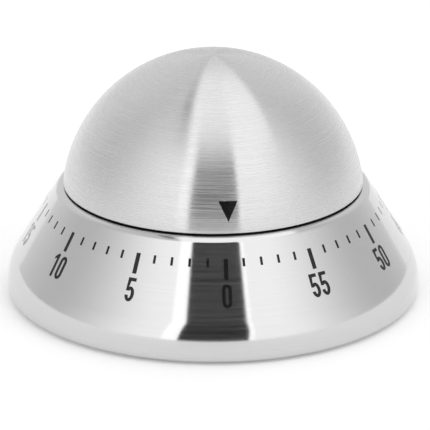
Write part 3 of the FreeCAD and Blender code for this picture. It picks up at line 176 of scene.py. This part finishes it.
class Finish(Shading):
    """A procedural material in the making."""

    def __init__(self, name):
        self.material = bpy.data.materials.new(name)
        self.material.use_nodes = True
        super().__init__(self.material.node_tree)
        self.shader = self.nodes["Principled BSDF"]

    def position(self):
        return self.add("ShaderNodeTexCoord").outputs["Object"]

    def ring_position(self, around, across):
        """Coordinates that run slowly round the Z axis and fast across it, with no seam."""
        parts = self.add("ShaderNodeSeparateXYZ")
        self.link(self.position(), parts.inputs[0])
        x, y, z = parts.outputs
        squares = self.math("ADD", self.math("MULTIPLY", x, x), self.math("MULTIPLY", y, y))
        radius = self.math("MAXIMUM", self.math("SQRT", squares), 0.00001)
        joined = self.add("ShaderNodeCombineXYZ")
        self.link(self.math("MULTIPLY", self.math("DIVIDE", x, radius), around), joined.inputs[0])
        self.link(self.math("MULTIPLY", self.math("DIVIDE", y, radius), around), joined.inputs[1])
        slope = self.math("SUBTRACT", z, radius)
        self.link(self.math("MULTIPLY", slope, across), joined.inputs[2])
        return joined.outputs[0]

    def noise(self, vector, scale, detail=3.0, roughness=0.5):
        node = self.add("ShaderNodeTexNoise")
        node.inputs["Scale"].default_value = scale
        node.inputs["Detail"].default_value = detail
        node.inputs["Roughness"].default_value = roughness
        self.link(vector, node.inputs["Vector"])
        return node.outputs["Fac"]

    def tint(self, value, tone, low, high):
        """The base colour, made darker and lighter by a noise value."""
        ramp = self.add("ShaderNodeValToRGB")
        ramp.color_ramp.elements[0].position = 0.3
        ramp.color_ramp.elements[1].position = 0.7
        ramp.color_ramp.elements[0].color = [min(channel * low, 1) for channel in tone] + [1]
        ramp.color_ramp.elements[1].color = [min(channel * high, 1) for channel in tone] + [1]
        self.link(value, ramp.inputs["Fac"])
        self.link(ramp.outputs["Color"], self.shader.inputs["Base Color"])

    def pale_edge(self, level):
        """Painted sheen: blend the base colour to a pale grey where the surface is seen nearly edge on, in
        place of the reflection seen at grazing angles.
        """
        facing = self.add("ShaderNodeLayerWeight")
        painted_sheen_share = self.spread(facing.outputs["Facing"], 0.0, 1.0, 0.62, 0.9)
        mix = self.add("ShaderNodeMix", data_type="RGBA")
        colour_socket = self.shader.inputs["Base Color"]
        before, after = [socket for socket in mix.inputs if socket.type == "RGBA"]
        after.default_value = (level, level, level, 1)
        self.link(painted_sheen_share, mix.inputs[0])
        self.link(colour_socket.links[0].from_socket, before)
        self.link([socket for socket in mix.outputs if socket.type == "RGBA"][0], colour_socket)

    def bump(self, height, strength, distance):
        node = self.add("ShaderNodeBump")
        node.inputs["Strength"].default_value = strength
        node.inputs["Distance"].default_value = distance
        self.link(height, node.inputs["Height"])
        self.link(node.outputs["Normal"], self.shader.inputs["Normal"])

    def set(self, **values):
        """Set the shader's own sockets, named by their labels in small letters."""
        sockets = {socket.name.lower().replace(" ", "_"): socket for socket in self.shader.inputs}
        for name, value in values.items():
            sockets[name].default_value = value


def brushed_ring_steel(name, tone, rough, spread, anisotropy, streak, bump, scratch):
    """Steel brushed round and round on a lathe: fine circles, and a highlight drawn out across them."""
    finish = Finish(name)
    fine = finish.noise(finish.ring_position(3.0, 11000.0), 1.0, 1.0, 0.5)
    broad = finish.noise(finish.ring_position(1.4, 6800.0), 1.0, 1.0, 0.5)
    cloud = finish.noise(finish.position(), 90.0, 3.0)
    lines = finish.math("ADD", finish.math("MULTIPLY", fine, 0.5), finish.math("MULTIPLY", broad, 0.5))
    finish.tint(lines, tone, 1 - streak, 1 + streak)
    wander = finish.math("ADD", finish.math("MULTIPLY", lines, 0.7), finish.math("MULTIPLY", cloud, 0.3))
    finish.link(finish.spread(wander, rough - spread, rough + spread), finish.shader.inputs["Roughness"])
    finish.link(finish.spread(lines, 1.0, 1.0 - scratch, 0.42, 0.6), finish.shader.inputs["Metallic"])
    finish.bump(lines, bump, 0.00002)
    finish.set(anisotropic=anisotropy, anisotropic_rotation=0.25)
    tangent = finish.add("ShaderNodeTangent", direction_type="RADIAL", axis="Z")
    finish.link(tangent.outputs[0], finish.shader.inputs["Tangent"])
    return finish.material


def stamped_metal(name, tone, rough):
    """Sheet metal with a short straight grain and a little tarnish."""
    finish = Finish(name)
    stretch = finish.add("ShaderNodeMapping")
    stretch.inputs["Scale"].default_value = (400.0, 5200.0, 5200.0)
    finish.link(finish.position(), stretch.inputs["Vector"])
    grain = finish.noise(stretch.outputs[0], 1.0, 3.0)
    tarnish = finish.noise(finish.position(), 260.0, 5.0, 0.6)
    finish.tint(tarnish, tone, 0.82, 1.06)
    finish.link(finish.spread(grain, rough - 0.07, rough + 0.1), finish.shader.inputs["Roughness"])
    finish.bump(grain, 0.25, 0.00001)
    finish.set(metallic=1.0)
    return finish.material


def turned_metal(name, tone, rough):
    """Metal turned on a lathe, with fine rings."""
    finish = Finish(name)
    rings = finish.noise(finish.ring_position(1.5, 9000.0), 1.0, 2.0)
    finish.tint(rings, tone, 0.9, 1.05)
    finish.link(finish.spread(rings, rough - 0.05, rough + 0.06), finish.shader.inputs["Roughness"])
    finish.bump(rings, 0.15, 0.00001)
    finish.set(metallic=1.0)
    return finish.material


def moulded_plastic(name, tone, rough, grain_scale):
    """Moulded plastic with a fine spark-eroded grain."""
    finish = Finish(name)
    grain = finish.noise(finish.position(), grain_scale, 2.0, 0.7)
    cloud = finish.noise(finish.position(), 120.0, 3.0)
    finish.tint(cloud, tone, 0.8, 1.35)
    finish.link(finish.spread(grain, rough - 0.08, rough + 0.1), finish.shader.inputs["Roughness"])
    finish.bump(grain, 0.4, 0.00003)
    finish.set(specular_ior_level=0.45)
    return finish.material


def soft_rubber(name, tone):
    """Matt rubber with fine dust and pores."""
    finish = Finish(name)
    pores = finish.add("ShaderNodeTexVoronoi")
    pores.inputs["Scale"].default_value = 2600.0
    finish.link(finish.position(), pores.inputs["Vector"])
    dust = finish.noise(finish.position(), 340.0, 5.0, 0.65)
    finish.tint(dust, tone, 0.8, 1.9)
    finish.link(finish.spread(dust, 0.72, 0.92), finish.shader.inputs["Roughness"])
    finish.bump(pores.outputs["Distance"], 0.3, 0.00003)
    finish.set(specular_ior_level=0.3)
    return finish.material


def printed_ink(name, tone):
    """Thick screen-printed ink with a faint mesh in its surface, and a painted sheen that makes it pale
    where it's seen nearly edge on.
    """
    finish = Finish(name)
    mesh = finish.noise(finish.position(), 5200.0, 2.0, 0.6)
    patches = finish.noise(finish.position(), 900.0, 3.0)
    finish.tint(patches, tone, 0.7, 1.6)
    # Painted sheen: the ink's colour is blended to pale grey where it is seen edge on, standing in for a
    # reflection.
    finish.pale_edge(0.5)
    finish.link(finish.spread(mesh, 0.2, 0.3), finish.shader.inputs["Roughness"])
    finish.bump(mesh, 0.1, 0.00001)
    finish.set(specular_ior_level=0.35)
    return finish.material


def give(piece, material):
    """Make a material the piece's only one."""
    piece.data.materials.clear()
    piece.data.materials.append(material)
    for face in piece.data.polygons:
        face.material_index = 0


def give_nodes(material, *names):
    for name in names:
        give(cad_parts[name], material)


# ---- Mesh helpers -----------------------------------------------------------------------------------

def arc(centre_x, centre_y, reach_x, reach_y, start, end, steps):
    """Points of an elliptic arc, angles in degrees."""
    points = []
    for step in range(steps + 1):
        turn = math.radians(start + (end - start) * step / steps)
        points.append((centre_x + reach_x * math.cos(turn), centre_y + reach_y * math.sin(turn)))
    return points


def new_piece(name, mesh_builder):
    """An object made from a bmesh."""
    mesh = bpy.data.meshes.new(name)
    bmesh.ops.recalc_face_normals(mesh_builder, faces=mesh_builder.faces)
    mesh_builder.to_mesh(mesh)
    mesh_builder.free()
    mesh.shade_smooth()
    mesh.set_sharp_from_angle(angle=math.radians(35))
    piece = bpy.data.objects.new(name, mesh)
    bpy.context.scene.collection.objects.link(piece)
    return piece


def lathe(name, profile, segments):
    """Turn a closed profile of (radius, height) points about the Z axis."""
    builder = bmesh.new()
    rings = []
    for radius, height in profile:
        if radius < 1e-7:
            rings.append([builder.verts.new((0, 0, height))])
            continue
        ring = []
        for step in range(segments):
            turn = 2 * math.pi * step / segments
            ring.append(builder.verts.new((radius * math.cos(turn), radius * math.sin(turn), height)))
        rings.append(ring)
    for first, second in zip(rings, rings[1:] + rings[:1]):
        for step in range(segments):
            after = (step + 1) % segments
            if len(first) == 1 and len(second) == 1:
                break
            if len(first) == 1:
                builder.faces.new((first[0], second[step], second[after]))
            elif len(second) == 1:
                builder.faces.new((first[step], second[0], first[after]))
            else:
                builder.faces.new((first[step], second[step], second[after], first[after]))
    return new_piece(name, builder)


def slab(builder, contours, lay):
    """A thin closed print: flat contours, filled, and laid on a surface by lay(x, y, height)."""
    sizes = bpy.context.scene.timer_sizes
    flat = [[Vector((x, y, 0)) for x, y in contour] for contour in contours]
    corners = [point for contour in flat for point in contour]
    upper = [builder.verts.new(lay(point.x, point.y, sizes.ink_height)) for point in corners]
    lower = [builder.verts.new(lay(point.x, point.y, -sizes.ink_depth)) for point in corners]
    for triangle in tessellate_polygon(flat):
        builder.faces.new([upper[corner] for corner in triangle])
        builder.faces.new([lower[corner] for corner in reversed(triangle)])
    start = 0
    for contour in flat:
        for step in range(len(contour)):
            here = start + step
            after = start + (step + 1) % len(contour)
            builder.faces.new((upper[here], upper[after], lower[after], lower[here]))
        start += len(contour)


# ---- Shapes of the steel ----------------------------------------------------------------------------

class BaseShape:
    """The base's outer surface, worked out from the frame and the sizes."""

    def __init__(self, sizes):
        low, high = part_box("base_shell")
        self.radius = high.x
        self.bottom = low.z
        self.crest_z = high.z
        self.corner_x = self.radius - sizes.corner_radius
        self.corner_z = self.bottom + sizes.band_height
        self.shoulder_z = self.crest_z - sizes.shoulder_radius
        rise = (self.shoulder_z - self.corner_z) * math.sin(sizes.cone_angle)
        run = sizes.corner_radius - sizes.shoulder_radius - rise
        self.crest_x = self.corner_x + run / math.cos(sizes.cone_angle)
        self.slope = sizes.cone_angle
        self.start_x = self.crest_x + sizes.shoulder_radius * math.cos(self.slope)
        self.start_z = self.shoulder_z + sizes.shoulder_radius * math.sin(self.slope)

    def lay(self, turn):
        """A function that lays (across, down, height) on the cone, at an angle round the base."""
        def place(across, down, height):
            radius = self.start_x + down * math.sin(self.slope)
            here = turn + across / radius
            radius += height * math.cos(self.slope)
            z = self.start_z - down * math.cos(self.slope) + height * math.sin(self.slope)
            return Vector((radius * math.sin(here), -radius * math.cos(here), z))
        return place


class DomeShape:
    """The dome's sphere, worked out from the frame."""

    def __init__(self):
        low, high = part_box("dome_shell")
        rise = high.z - low.z
        self.rim_z = low.z
        self.rim_radius = high.x
        self.radius = (high.x * high.x + rise * rise) / (2 * rise)
        self.centre_z = high.z - self.radius

    def lay(self, turn, across, elevation, height):
        """Lay (across, elevation, height) on the sphere, at an angle round it."""
        reach = self.radius + height
        level = reach * math.cos(elevation)
        turn += across / (self.radius * math.cos(elevation))
        return Vector((
            level * math.sin(turn),
            -level * math.cos(turn),
            self.centre_z + reach * math.sin(elevation),
        ))


def base_profile(sizes):
    """Closed profile of the base's sheet: outside from the hem to the mouth, then back inside."""
    shape = BaseShape(sizes)
    slope = math.degrees(shape.slope)
    hem_x = shape.radius - sizes.hem_radius
    hem_z = shape.bottom + sizes.hem_radius
    hem_end = shape.radius - sizes.hem_width
    curl_z = shape.crest_z - sizes.mouth_curl
    mouth_z = curl_z - sizes.mouth_drop

    def side(depth):
        points = [(hem_end, shape.bottom + depth)]
        points += arc(hem_x, hem_z, sizes.hem_radius - depth, sizes.hem_radius - depth, -90, 0, 8)
        reach = sizes.corner_radius - depth
        points += arc(shape.corner_x, shape.corner_z, reach, reach, 0, slope, 28)
        reach = sizes.shoulder_radius - depth
        points += arc(shape.crest_x, shape.shoulder_z, reach, reach, slope, 90, 20)
        reach = sizes.mouth_curl - depth
        points += arc(shape.crest_x, curl_z, reach, reach, 90, 180, 10)[1:]
        points.append((shape.crest_x - reach, mouth_z))
        return points

    return side(0) + side(sizes.sheet)[::-1]


def dome_profile(sizes):
    """Closed profile of the dome's sheet, with a rounded rim."""
    shape = DomeShape()
    inner = shape.radius - sizes.sheet
    low_angle = math.degrees(math.asin((shape.rim_z + sizes.rim_round - shape.centre_z) / shape.radius))
    low_inner = math.degrees(math.asin((shape.rim_z + sizes.rim_round - shape.centre_z) / inner))
    outer = arc(0, shape.centre_z, shape.radius, shape.radius, 90, low_angle, 72)
    back = arc(0, shape.centre_z, inner, inner, low_inner, 90, 40)
    outer_x = outer[-1][0] - sizes.rim_round
    inner_x = back[0][0] + sizes.rim_round
    rim_z = shape.rim_z + sizes.rim_round
    rim = arc(outer_x, rim_z, sizes.rim_round, sizes.rim_round, 0, -90, 5)[1:]
    rim += arc(inner_x, rim_z, sizes.rim_round, sizes.rim_round, -90, -180, 5)[:-1]
    return outer + rim + back


# ---- Digits -----------------------------------------------------------------------------------------

def digit_zero(width, height, stroke):
    half = width / 2
    end = width * 0.62
    outer = arc(0, height - end, half, end, 0, 180, 16) + arc(0, end, half, end, 180, 360, 16)
    half -= stroke
    end -= stroke * 0.95
    middle = width * 0.62
    inner = arc(0, height - middle, half, end, 0, 180, 14) + arc(0, middle, half, end, 180, 360, 14)
    return [outer, inner]


def digit_one(width, height, stroke):
    right = width * 0.3
    left = right - stroke
    return [[
        (left, 0), (right, 0), (right, height), (left + stroke * 0.15, height),
        (left - width * 0.36, height * 0.83), (left - width * 0.36, height * 0.715),
        (left, height * 0.8),
    ]]


def digit_two(width, height, stroke):
    half = width / 2
    bowl = height * 0.27
    middle = height - bowl
    inner = half - stroke
    points = arc(0, middle, half, bowl, 172, -28, 20)
    points += [(-half + stroke * 1.35, stroke), (half, stroke), (half, 0), (-half, 0), (-half, stroke * 0.9)]
    points += arc(0, middle, inner, bowl - stroke, -30, 172, 18)
    return [points]


def digit_three(width, height, stroke):
    half = width / 2
    inner = half - stroke
    upper = height * 0.265
    lower = height * 0.29
    high = height - upper
    points = arc(0, high, half, upper, 170, -52, 20)
    points += arc(0, lower, half, lower, 50, -170, 22)
    points += arc(0, lower, inner, lower - stroke, -168, 78, 18)
    waist = 2 * lower - stroke
    points += [(-width * 0.12, waist), (-width * 0.12, waist + stroke * 0.92)]
    points += arc(0, high, inner, upper - stroke, -72, 170, 18)
    return [points]


def digit_four(width, height, stroke):
    half = width / 2
    right = half - stroke * 0.45
    left = right - stroke
    bar = height * 0.2
    top = bar + stroke * 0.95
    outer = [
        (left, 0), (right, 0), (right, bar), (half + stroke * 0.1, bar), (half + stroke * 0.1, top),
        (right, top), (right, height), (left - stroke * 0.1, height),
        (-half - stroke * 0.1, top + stroke * 0.1), (-half - stroke * 0.1, bar), (left, bar),
    ]
    hole = [(left, top), (left, height * 0.74), (-half + stroke * 0.85, top)]
    return [outer, hole]


def digit_five(width, height, stroke):
    half = width / 2
    bowl = height * 0.315
    inner = half - stroke
    stem = -half + stroke * 0.12
    shelf = height * 0.44
    points = [(half * 0.88, height), (stem + stroke * 0.1, height), (stem, shelf)]
    points += [(stem + stroke * 0.9, shelf)]
    points += arc(0, bowl, inner, bowl - stroke, 128, -166, 24)
    points += arc(0, bowl, half, bowl, -170, 112, 26)
    points += [(stem + stroke * 1.04, height - stroke), (half * 0.88, height - stroke)]
    return [points]


DIGITS = {
    "0": digit_zero,
    "1": digit_one,
    "2": digit_two,
    "3": digit_three,
    "4": digit_four,
    "5": digit_five,
}


# ---- Operators --------------------------------------------------------------------------------------

class TIMER_OT_base(bpy.types.Operator):
    """Spin the steel base with its hem, cone, rolled shoulder and curled mouth"""

    bl_idname = "timer.base"
    bl_label = "Steel Base"

    def execute(self, context):
        sizes = context.scene.timer_sizes
        piece = lathe("base_sheet", base_profile(sizes), sizes.around)
        tone = context.scene.timer_colours.base_steel
        give(piece, brushed_ring_steel(
            "base_brushed_steel", tone, rough=0.1, spread=0.025, anisotropy=0.8,
            streak=0.01, bump=0.08, scratch=0.06))
        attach(piece, "base")
        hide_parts("base_shell")
        return {"FINISHED"}


class TIMER_OT_dome(bpy.types.Operator):
    """Spin the steel dome that is the timer's knob"""

    bl_idname = "timer.dome"
    bl_label = "Steel Dome"

    def execute(self, context):
        sizes = context.scene.timer_sizes
        piece = lathe("dome_cap", dome_profile(sizes), sizes.around)
        tone = context.scene.timer_colours.dome_steel
        give(piece, brushed_ring_steel(
            "dome_brushed_steel", tone, rough=0.25, spread=0.04, anisotropy=1.0,
            streak=0.01, bump=0.08, scratch=0.34))
        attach(piece, "dome")
        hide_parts("dome_shell")
        return {"FINISHED"}


class TIMER_OT_marks(bpy.types.Operator):
    """Print the sixty minute marks on the cone"""

    bl_idname = "timer.marks"
    bl_label = "Minute Marks"

    def execute(self, context):
        sizes = context.scene.timer_sizes
        shape = BaseShape(sizes)
        ink = printed_ink("scale_ink", context.scene.timer_colours.ink)
        builders = {"minute_marks": bmesh.new(), "five_minute_marks": bmesh.new()}
        for minute in range(60):
            five = minute % 5 == 0
            half = (sizes.five_width if five else sizes.minute_width) / 2
            top = sizes.mark_top
            end = top + (sizes.five_length if five else sizes.minute_length)
            corners = [(-half, top), (half, top), (half, end), (-half, end)]
            builder = builders["five_minute_marks" if five else "minute_marks"]
            slab(builder, [corners], shape.lay(-2 * math.pi * minute / 60))
        for name, builder in builders.items():
            piece = new_piece(name, builder)
            give(piece, ink)
            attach(piece, "base")
        return {"FINISHED"}


class TIMER_OT_numerals(bpy.types.Operator):
    """Print the numerals from 0 to 55 on the cone"""

    bl_idname = "timer.numerals"
    bl_label = "Numerals"

    def execute(self, context):
        sizes = context.scene.timer_sizes
        shape = BaseShape(sizes)
        ink = printed_ink("numeral_ink", context.scene.timer_colours.ink)
        advance = sizes.numeral_width + sizes.numeral_gap
        foot = sizes.numeral_top + sizes.numeral_height
        for minute in range(0, 60, 5):
            text = str(minute)
            builder = bmesh.new()
            lay = shape.lay(-2 * math.pi * minute / 60)
            for place, digit in enumerate(text):
                shift = (place - (len(text) - 1) / 2) * advance
                contours = DIGITS[digit](
                    sizes.numeral_width, sizes.numeral_height, sizes.numeral_stroke)
                laid = [[(x + shift, foot - y) for x, y in contour] for contour in contours]
                slab(builder, laid, lay)
            piece = new_piece(f"numeral_{minute:02d}", builder)
            give(piece, ink)
            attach(piece, "base")
        return {"FINISHED"}


class TIMER_OT_pointer(bpy.types.Operator):
    """Print the pointer on the dome, tip down"""

    bl_idname = "timer.pointer"
    bl_label = "Pointer"

    def execute(self, context):
        sizes = context.scene.timer_sizes
        shape = DomeShape()
        rows = 8
        builder = bmesh.new()
        layers = []
        for height in (sizes.ink_height, -sizes.ink_depth):
            grid = []
            for row in range(rows + 1):
                share = row / rows
                elevation = sizes.pointer_low + (sizes.pointer_high - sizes.pointer_low) * share
                half = sizes.pointer_width * share / 2
                line = []
                for step in range(row + 1):
                    across = half * (2 * step / row - 1) if row else 0
                    spot = shape.lay(sizes.pointer_turn, across, elevation, height)
                    line.append(builder.verts.new(spot))
                grid.append(line)
            layers.append(grid)
            for low, high in zip(grid, grid[1:]):
                for step in range(len(low)):
                    builder.faces.new((low[step], high[step], high[step + 1]))
                    if step + 1 < len(low):
                        builder.faces.new((low[step], high[step + 1], low[step + 1]))
        upper, lower = layers
        for row in range(rows):
            for end in (0, -1):
                builder.faces.new((
                    upper[row][end], upper[row + 1][end], lower[row + 1][end], lower[row][end]))
        for step in range(rows):
            builder.faces.new((
                upper[rows][step], upper[rows][step + 1], lower[rows][step + 1], lower[rows][step]))
        piece = new_piece("pointer", builder)
        give(piece, printed_ink("pointer_ink", context.scene.timer_colours.ink))
        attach(piece, "dome")
        return {"FINISHED"}


class TIMER_OT_mouldings(bpy.types.Operator):
    """Finish the moulded housing, cover and insert, and the rubber foot"""

    bl_idname = "timer.mouldings"
    bl_label = "Mouldings"

    def execute(self, context):
        colours = context.scene.timer_colours
        give_nodes(moulded_plastic("housing_plastic", colours.plastic, 0.5, 3600.0), "inner_housing")
        give_nodes(moulded_plastic("cover_plastic", colours.plastic, 0.42, 2800.0), "bottom_cover")
        give_nodes(moulded_plastic("insert_plastic", colours.plastic, 0.55, 3600.0), "dome_insert")
        give_nodes(soft_rubber("foot_rubber", colours.rubber), "foot_ring")
        return {"FINISHED"}


class TIMER_OT_clockwork(bpy.types.Operator):
    """Finish the clockwork, the bell and the screws"""

    bl_idname = "timer.clockwork"
    bl_label = "Clockwork"

    def execute(self, context):
        colours = context.scene.timer_colours
        give_nodes(
            stamped_metal("plate_steel", colours.plate_steel, 0.34),
            "lower_plate", "upper_plate", "plate_pillars", "release_lever", "hammer", "hammer_tail",
            "bell_cam")
        give_nodes(
            stamped_metal("stamped_brass", colours.brass, 0.28),
            "great_wheel", "second_wheel", "third_wheel", "escape_wheel", "striking_star",
            "pallet_fork", "balance_weight")
        give_nodes(turned_metal("turned_brass", colours.brass, 0.2), "shaft_bush", "clutch_collar")
        give_nodes(
            turned_metal("turned_steel", colours.bright_steel, 0.18),
            "main_shaft", "bell_post", "spring_post", "lever_post", "second_arbor", "third_arbor",
            "escape_arbor", "pallet_arbor", "hammer_arbor")
        give_nodes(turned_metal("bell_plating", colours.bright_steel, 0.14), "bell")
        give_nodes(
            stamped_metal("blued_steel", colours.dark_steel, 0.26),
            "mainspring", "hub_ring", "clutch_spring", "shaft_clip")
        give_nodes(
            stamped_metal("zinc_plating", colours.zinc, 0.3),
            "cover_screws", "movement_screws", "bell_screw")
        return {"FINISHED"}


class TIMER_OT_stage(bpy.types.Operator):
    """Set the white table, the studio light and the camera"""

    bl_idname = "timer.stage"
    bl_label = "Stage"

    def execute(self, context):
        colours = context.scene.timer_colours
        make_floor(colours.floor)
        make_studio_light(context.scene)
        make_camera(context.scene)
        context.scene.view_settings.view_transform = "Standard"
        return {"FINISHED"}


CAMERA_TURN = math.radians(-4.19)
CAMERA_BACK = 0.9
CAMERA_HEIGHT = 0.3549
CAMERA_LENS = 413.9
AIM_HEIGHT = 0.01535
AIM_RIGHT = 0.00036

# Soft walls round the timer. Angles are in degrees to the right of the camera.
WALL_MIDDLE = 5
WALL_FRONT = 1.32
WALL_SIDE = 0.67
WALL_BACK = 0.84
WALL_DIMS = (32, 106)
WALL_BRIGHTENS = (110, 150)
WALL_TOP = 50
WALL_LEAN = 2.5
# A dark gap in the walls in front, with a bright strip along each side of it.
GAP = 0.02
GAP_LEFT = -17
GAP_RIGHT = 21.5
STRIP = 1.6
LEFT_STRIP_WIDTH = 9
RIGHT_STRIP_WIDTH = 3
# A soft box overhead, and a dark boom beside it.
OVERHEAD = 1.36
OVERHEAD_SIDES = 0.74
BOOM = 0.3


def make_floor(tone):
    """A wide white table."""
    reach = 4.0
    builder = bmesh.new()
    bmesh.ops.create_grid(builder, x_segments=8, y_segments=8, size=reach)
    floor = new_piece("white_table", builder)
    finish = Finish("white_table_paint")
    cloud = finish.noise(finish.position(), 12.0, 4.0)
    finish.tint(cloud, tone, 0.99, 1.01)
    finish.set(roughness=0.7, specular_ior_level=0.1, emission_strength=0.19)
    finish.shader.inputs["Emission Color"].default_value = (1, 1, 1, 1)
    give(floor, finish.material)


def make_studio_light(scene):
    """Soft walls all round with a dark gap in front, a soft box overhead, and a dark boom beside it."""
    world = bpy.data.worlds.new("studio")
    world.use_nodes = True
    scene.world = world
    light = Shading(world.node_tree)
    facing = light.add("ShaderNodeMapping", vector_type="VECTOR")
    facing.inputs["Rotation"].default_value = (0, 0, -CAMERA_TURN)
    light.link(light.add("ShaderNodeTexCoord").outputs["Generated"], facing.inputs["Vector"])
    parts = light.add("ShaderNodeSeparateXYZ")
    light.link(facing.outputs[0], parts.inputs[0])
    right, back, up = parts.outputs
    toward = light.math("MULTIPLY", back, -1.0)
    walls = wall_light(light, right, toward, up)
    overhead = overhead_light(light, right, toward)
    climb = light.step(up, sine(WALL_TOP - 3), sine(WALL_TOP + 5))
    strength = light.blend(climb, walls, overhead)
    background = light.nodes["Background"]
    background.inputs["Color"].default_value = (1, 1, 1, 1)
    light.link(strength, background.inputs["Strength"])


def sine(degrees):
    return math.sin(math.radians(degrees))


def wall_light(light, right, toward, up):
    """Walls that dim from the front to the sides, with a dark gap between two bright strips."""
    lean = light.spread(up, WALL_LEAN, 0.0, 0.0, sine(42))
    turn = light.math("ADD", light.math("DEGREES", light.math("ARCTAN2", right, toward)), lean)
    away = light.math("ABSOLUTE", light.math("SUBTRACT", turn, WALL_MIDDLE))
    walls = light.blend(light.step(away, *WALL_DIMS), WALL_FRONT, WALL_SIDE)
    walls = light.blend(light.step(away, *WALL_BRIGHTENS), walls, WALL_BACK)
    strips = between(light, turn, GAP_LEFT - LEFT_STRIP_WIDTH, GAP_RIGHT + RIGHT_STRIP_WIDTH)
    walls = light.blend(strips, walls, STRIP)
    walls = light.blend(between(light, turn, GAP_LEFT, GAP_RIGHT), walls, GAP)
    glow = light.spread(up, 0.0, 0.03, sine(20), sine(WALL_TOP))
    return light.math("ADD", walls, glow)


def between(light, turn, left, right, edge=0.5):
    """1 between two angles and 0 outside them, with soft edges."""
    past_left = light.step(turn, left - edge, left + edge)
    before_right = light.step(turn, right + edge, right - edge)
    return light.math("MULTIPLY", past_left, before_right)


def overhead_light(light, right, toward):
    """A soft box that widens towards the camera, with a dark boom at its left edge."""
    from_left = light.math("ADD", right, light.math("MULTIPLY_ADD", toward, 0.19, 0.22))
    to_right = light.math("SUBTRACT", light.math("MULTIPLY_ADD", toward, 0.64, 0.59), right)
    inside = light.math("MULTIPLY", light.step(from_left, -0.02, 0.03), light.step(to_right, -0.03, 0.05))
    box = light.blend(inside, OVERHEAD_SIDES, OVERHEAD)
    boom_right = light.math("DIVIDE", light.math("ADD", from_left, 0.06), 0.045)
    boom_toward = light.math("DIVIDE", light.math("ADD", toward, 0.08), 0.3)
    squares = light.math("MULTIPLY_ADD", boom_right, boom_right, light.math("POWER", boom_toward, 2.0))
    return light.blend(light.step(squares, 0.6, 1.2), BOOM, box)


def make_camera(scene):
    """A long lens, a little above the timer and a little to its left."""
    data = bpy.data.cameras.new("camera")
    data.lens = CAMERA_LENS
    data.clip_end = 20
    camera = bpy.data.objects.new("camera", data)
    scene.collection.objects.link(camera)
    spot = Vector((CAMERA_BACK * math.sin(CAMERA_TURN), -CAMERA_BACK * math.cos(CAMERA_TURN), CAMERA_HEIGHT))
    aim = Vector((AIM_RIGHT * math.cos(CAMERA_TURN), AIM_RIGHT * math.sin(CAMERA_TURN), AIM_HEIGHT))
    camera.location = spot
    camera.rotation_mode = "QUATERNION"
    camera.rotation_quaternion = (aim - spot).to_track_quat("-Z", "Y")
    scene.camera = camera


# ---- Panel and registration -------------------------------------------------------------------------

OPERATORS = [
    TIMER_OT_base,
    TIMER_OT_dome,
    TIMER_OT_marks,
    TIMER_OT_numerals,
    TIMER_OT_pointer,
    TIMER_OT_mouldings,
    TIMER_OT_clockwork,
    TIMER_OT_stage,
]


class TIMER_PT_panel(bpy.types.Panel):
    """Lists the timer's operators"""

    bl_idname = "TIMER_PT_panel"
    bl_label = "Kitchen Timer"
    bl_space_type = "VIEW_3D"
    bl_region_type = "UI"
    bl_category = "Timer"

    def draw(self, context):
        for operator in OPERATORS:
            self.layout.operator(operator.bl_idname)


CLASSES = [TimerSizes, TimerColours, *OPERATORS, TIMER_PT_panel]


def register():
    for item in CLASSES:
        bpy.utils.register_class(item)
    bpy.types.Scene.timer_sizes = PointerProperty(type=TimerSizes)
    bpy.types.Scene.timer_colours = PointerProperty(type=TimerColours)


def unregister():
    del bpy.types.Scene.timer_colours
    del bpy.types.Scene.timer_sizes
    for item in reversed(CLASSES):
        bpy.utils.unregister_class(item)


def main():
    register()
    for operator in OPERATORS:
        group, name = operator.bl_idname.split(".")
        getattr(getattr(bpy.ops, group), name)()


if __name__ == "__main__":
    main()
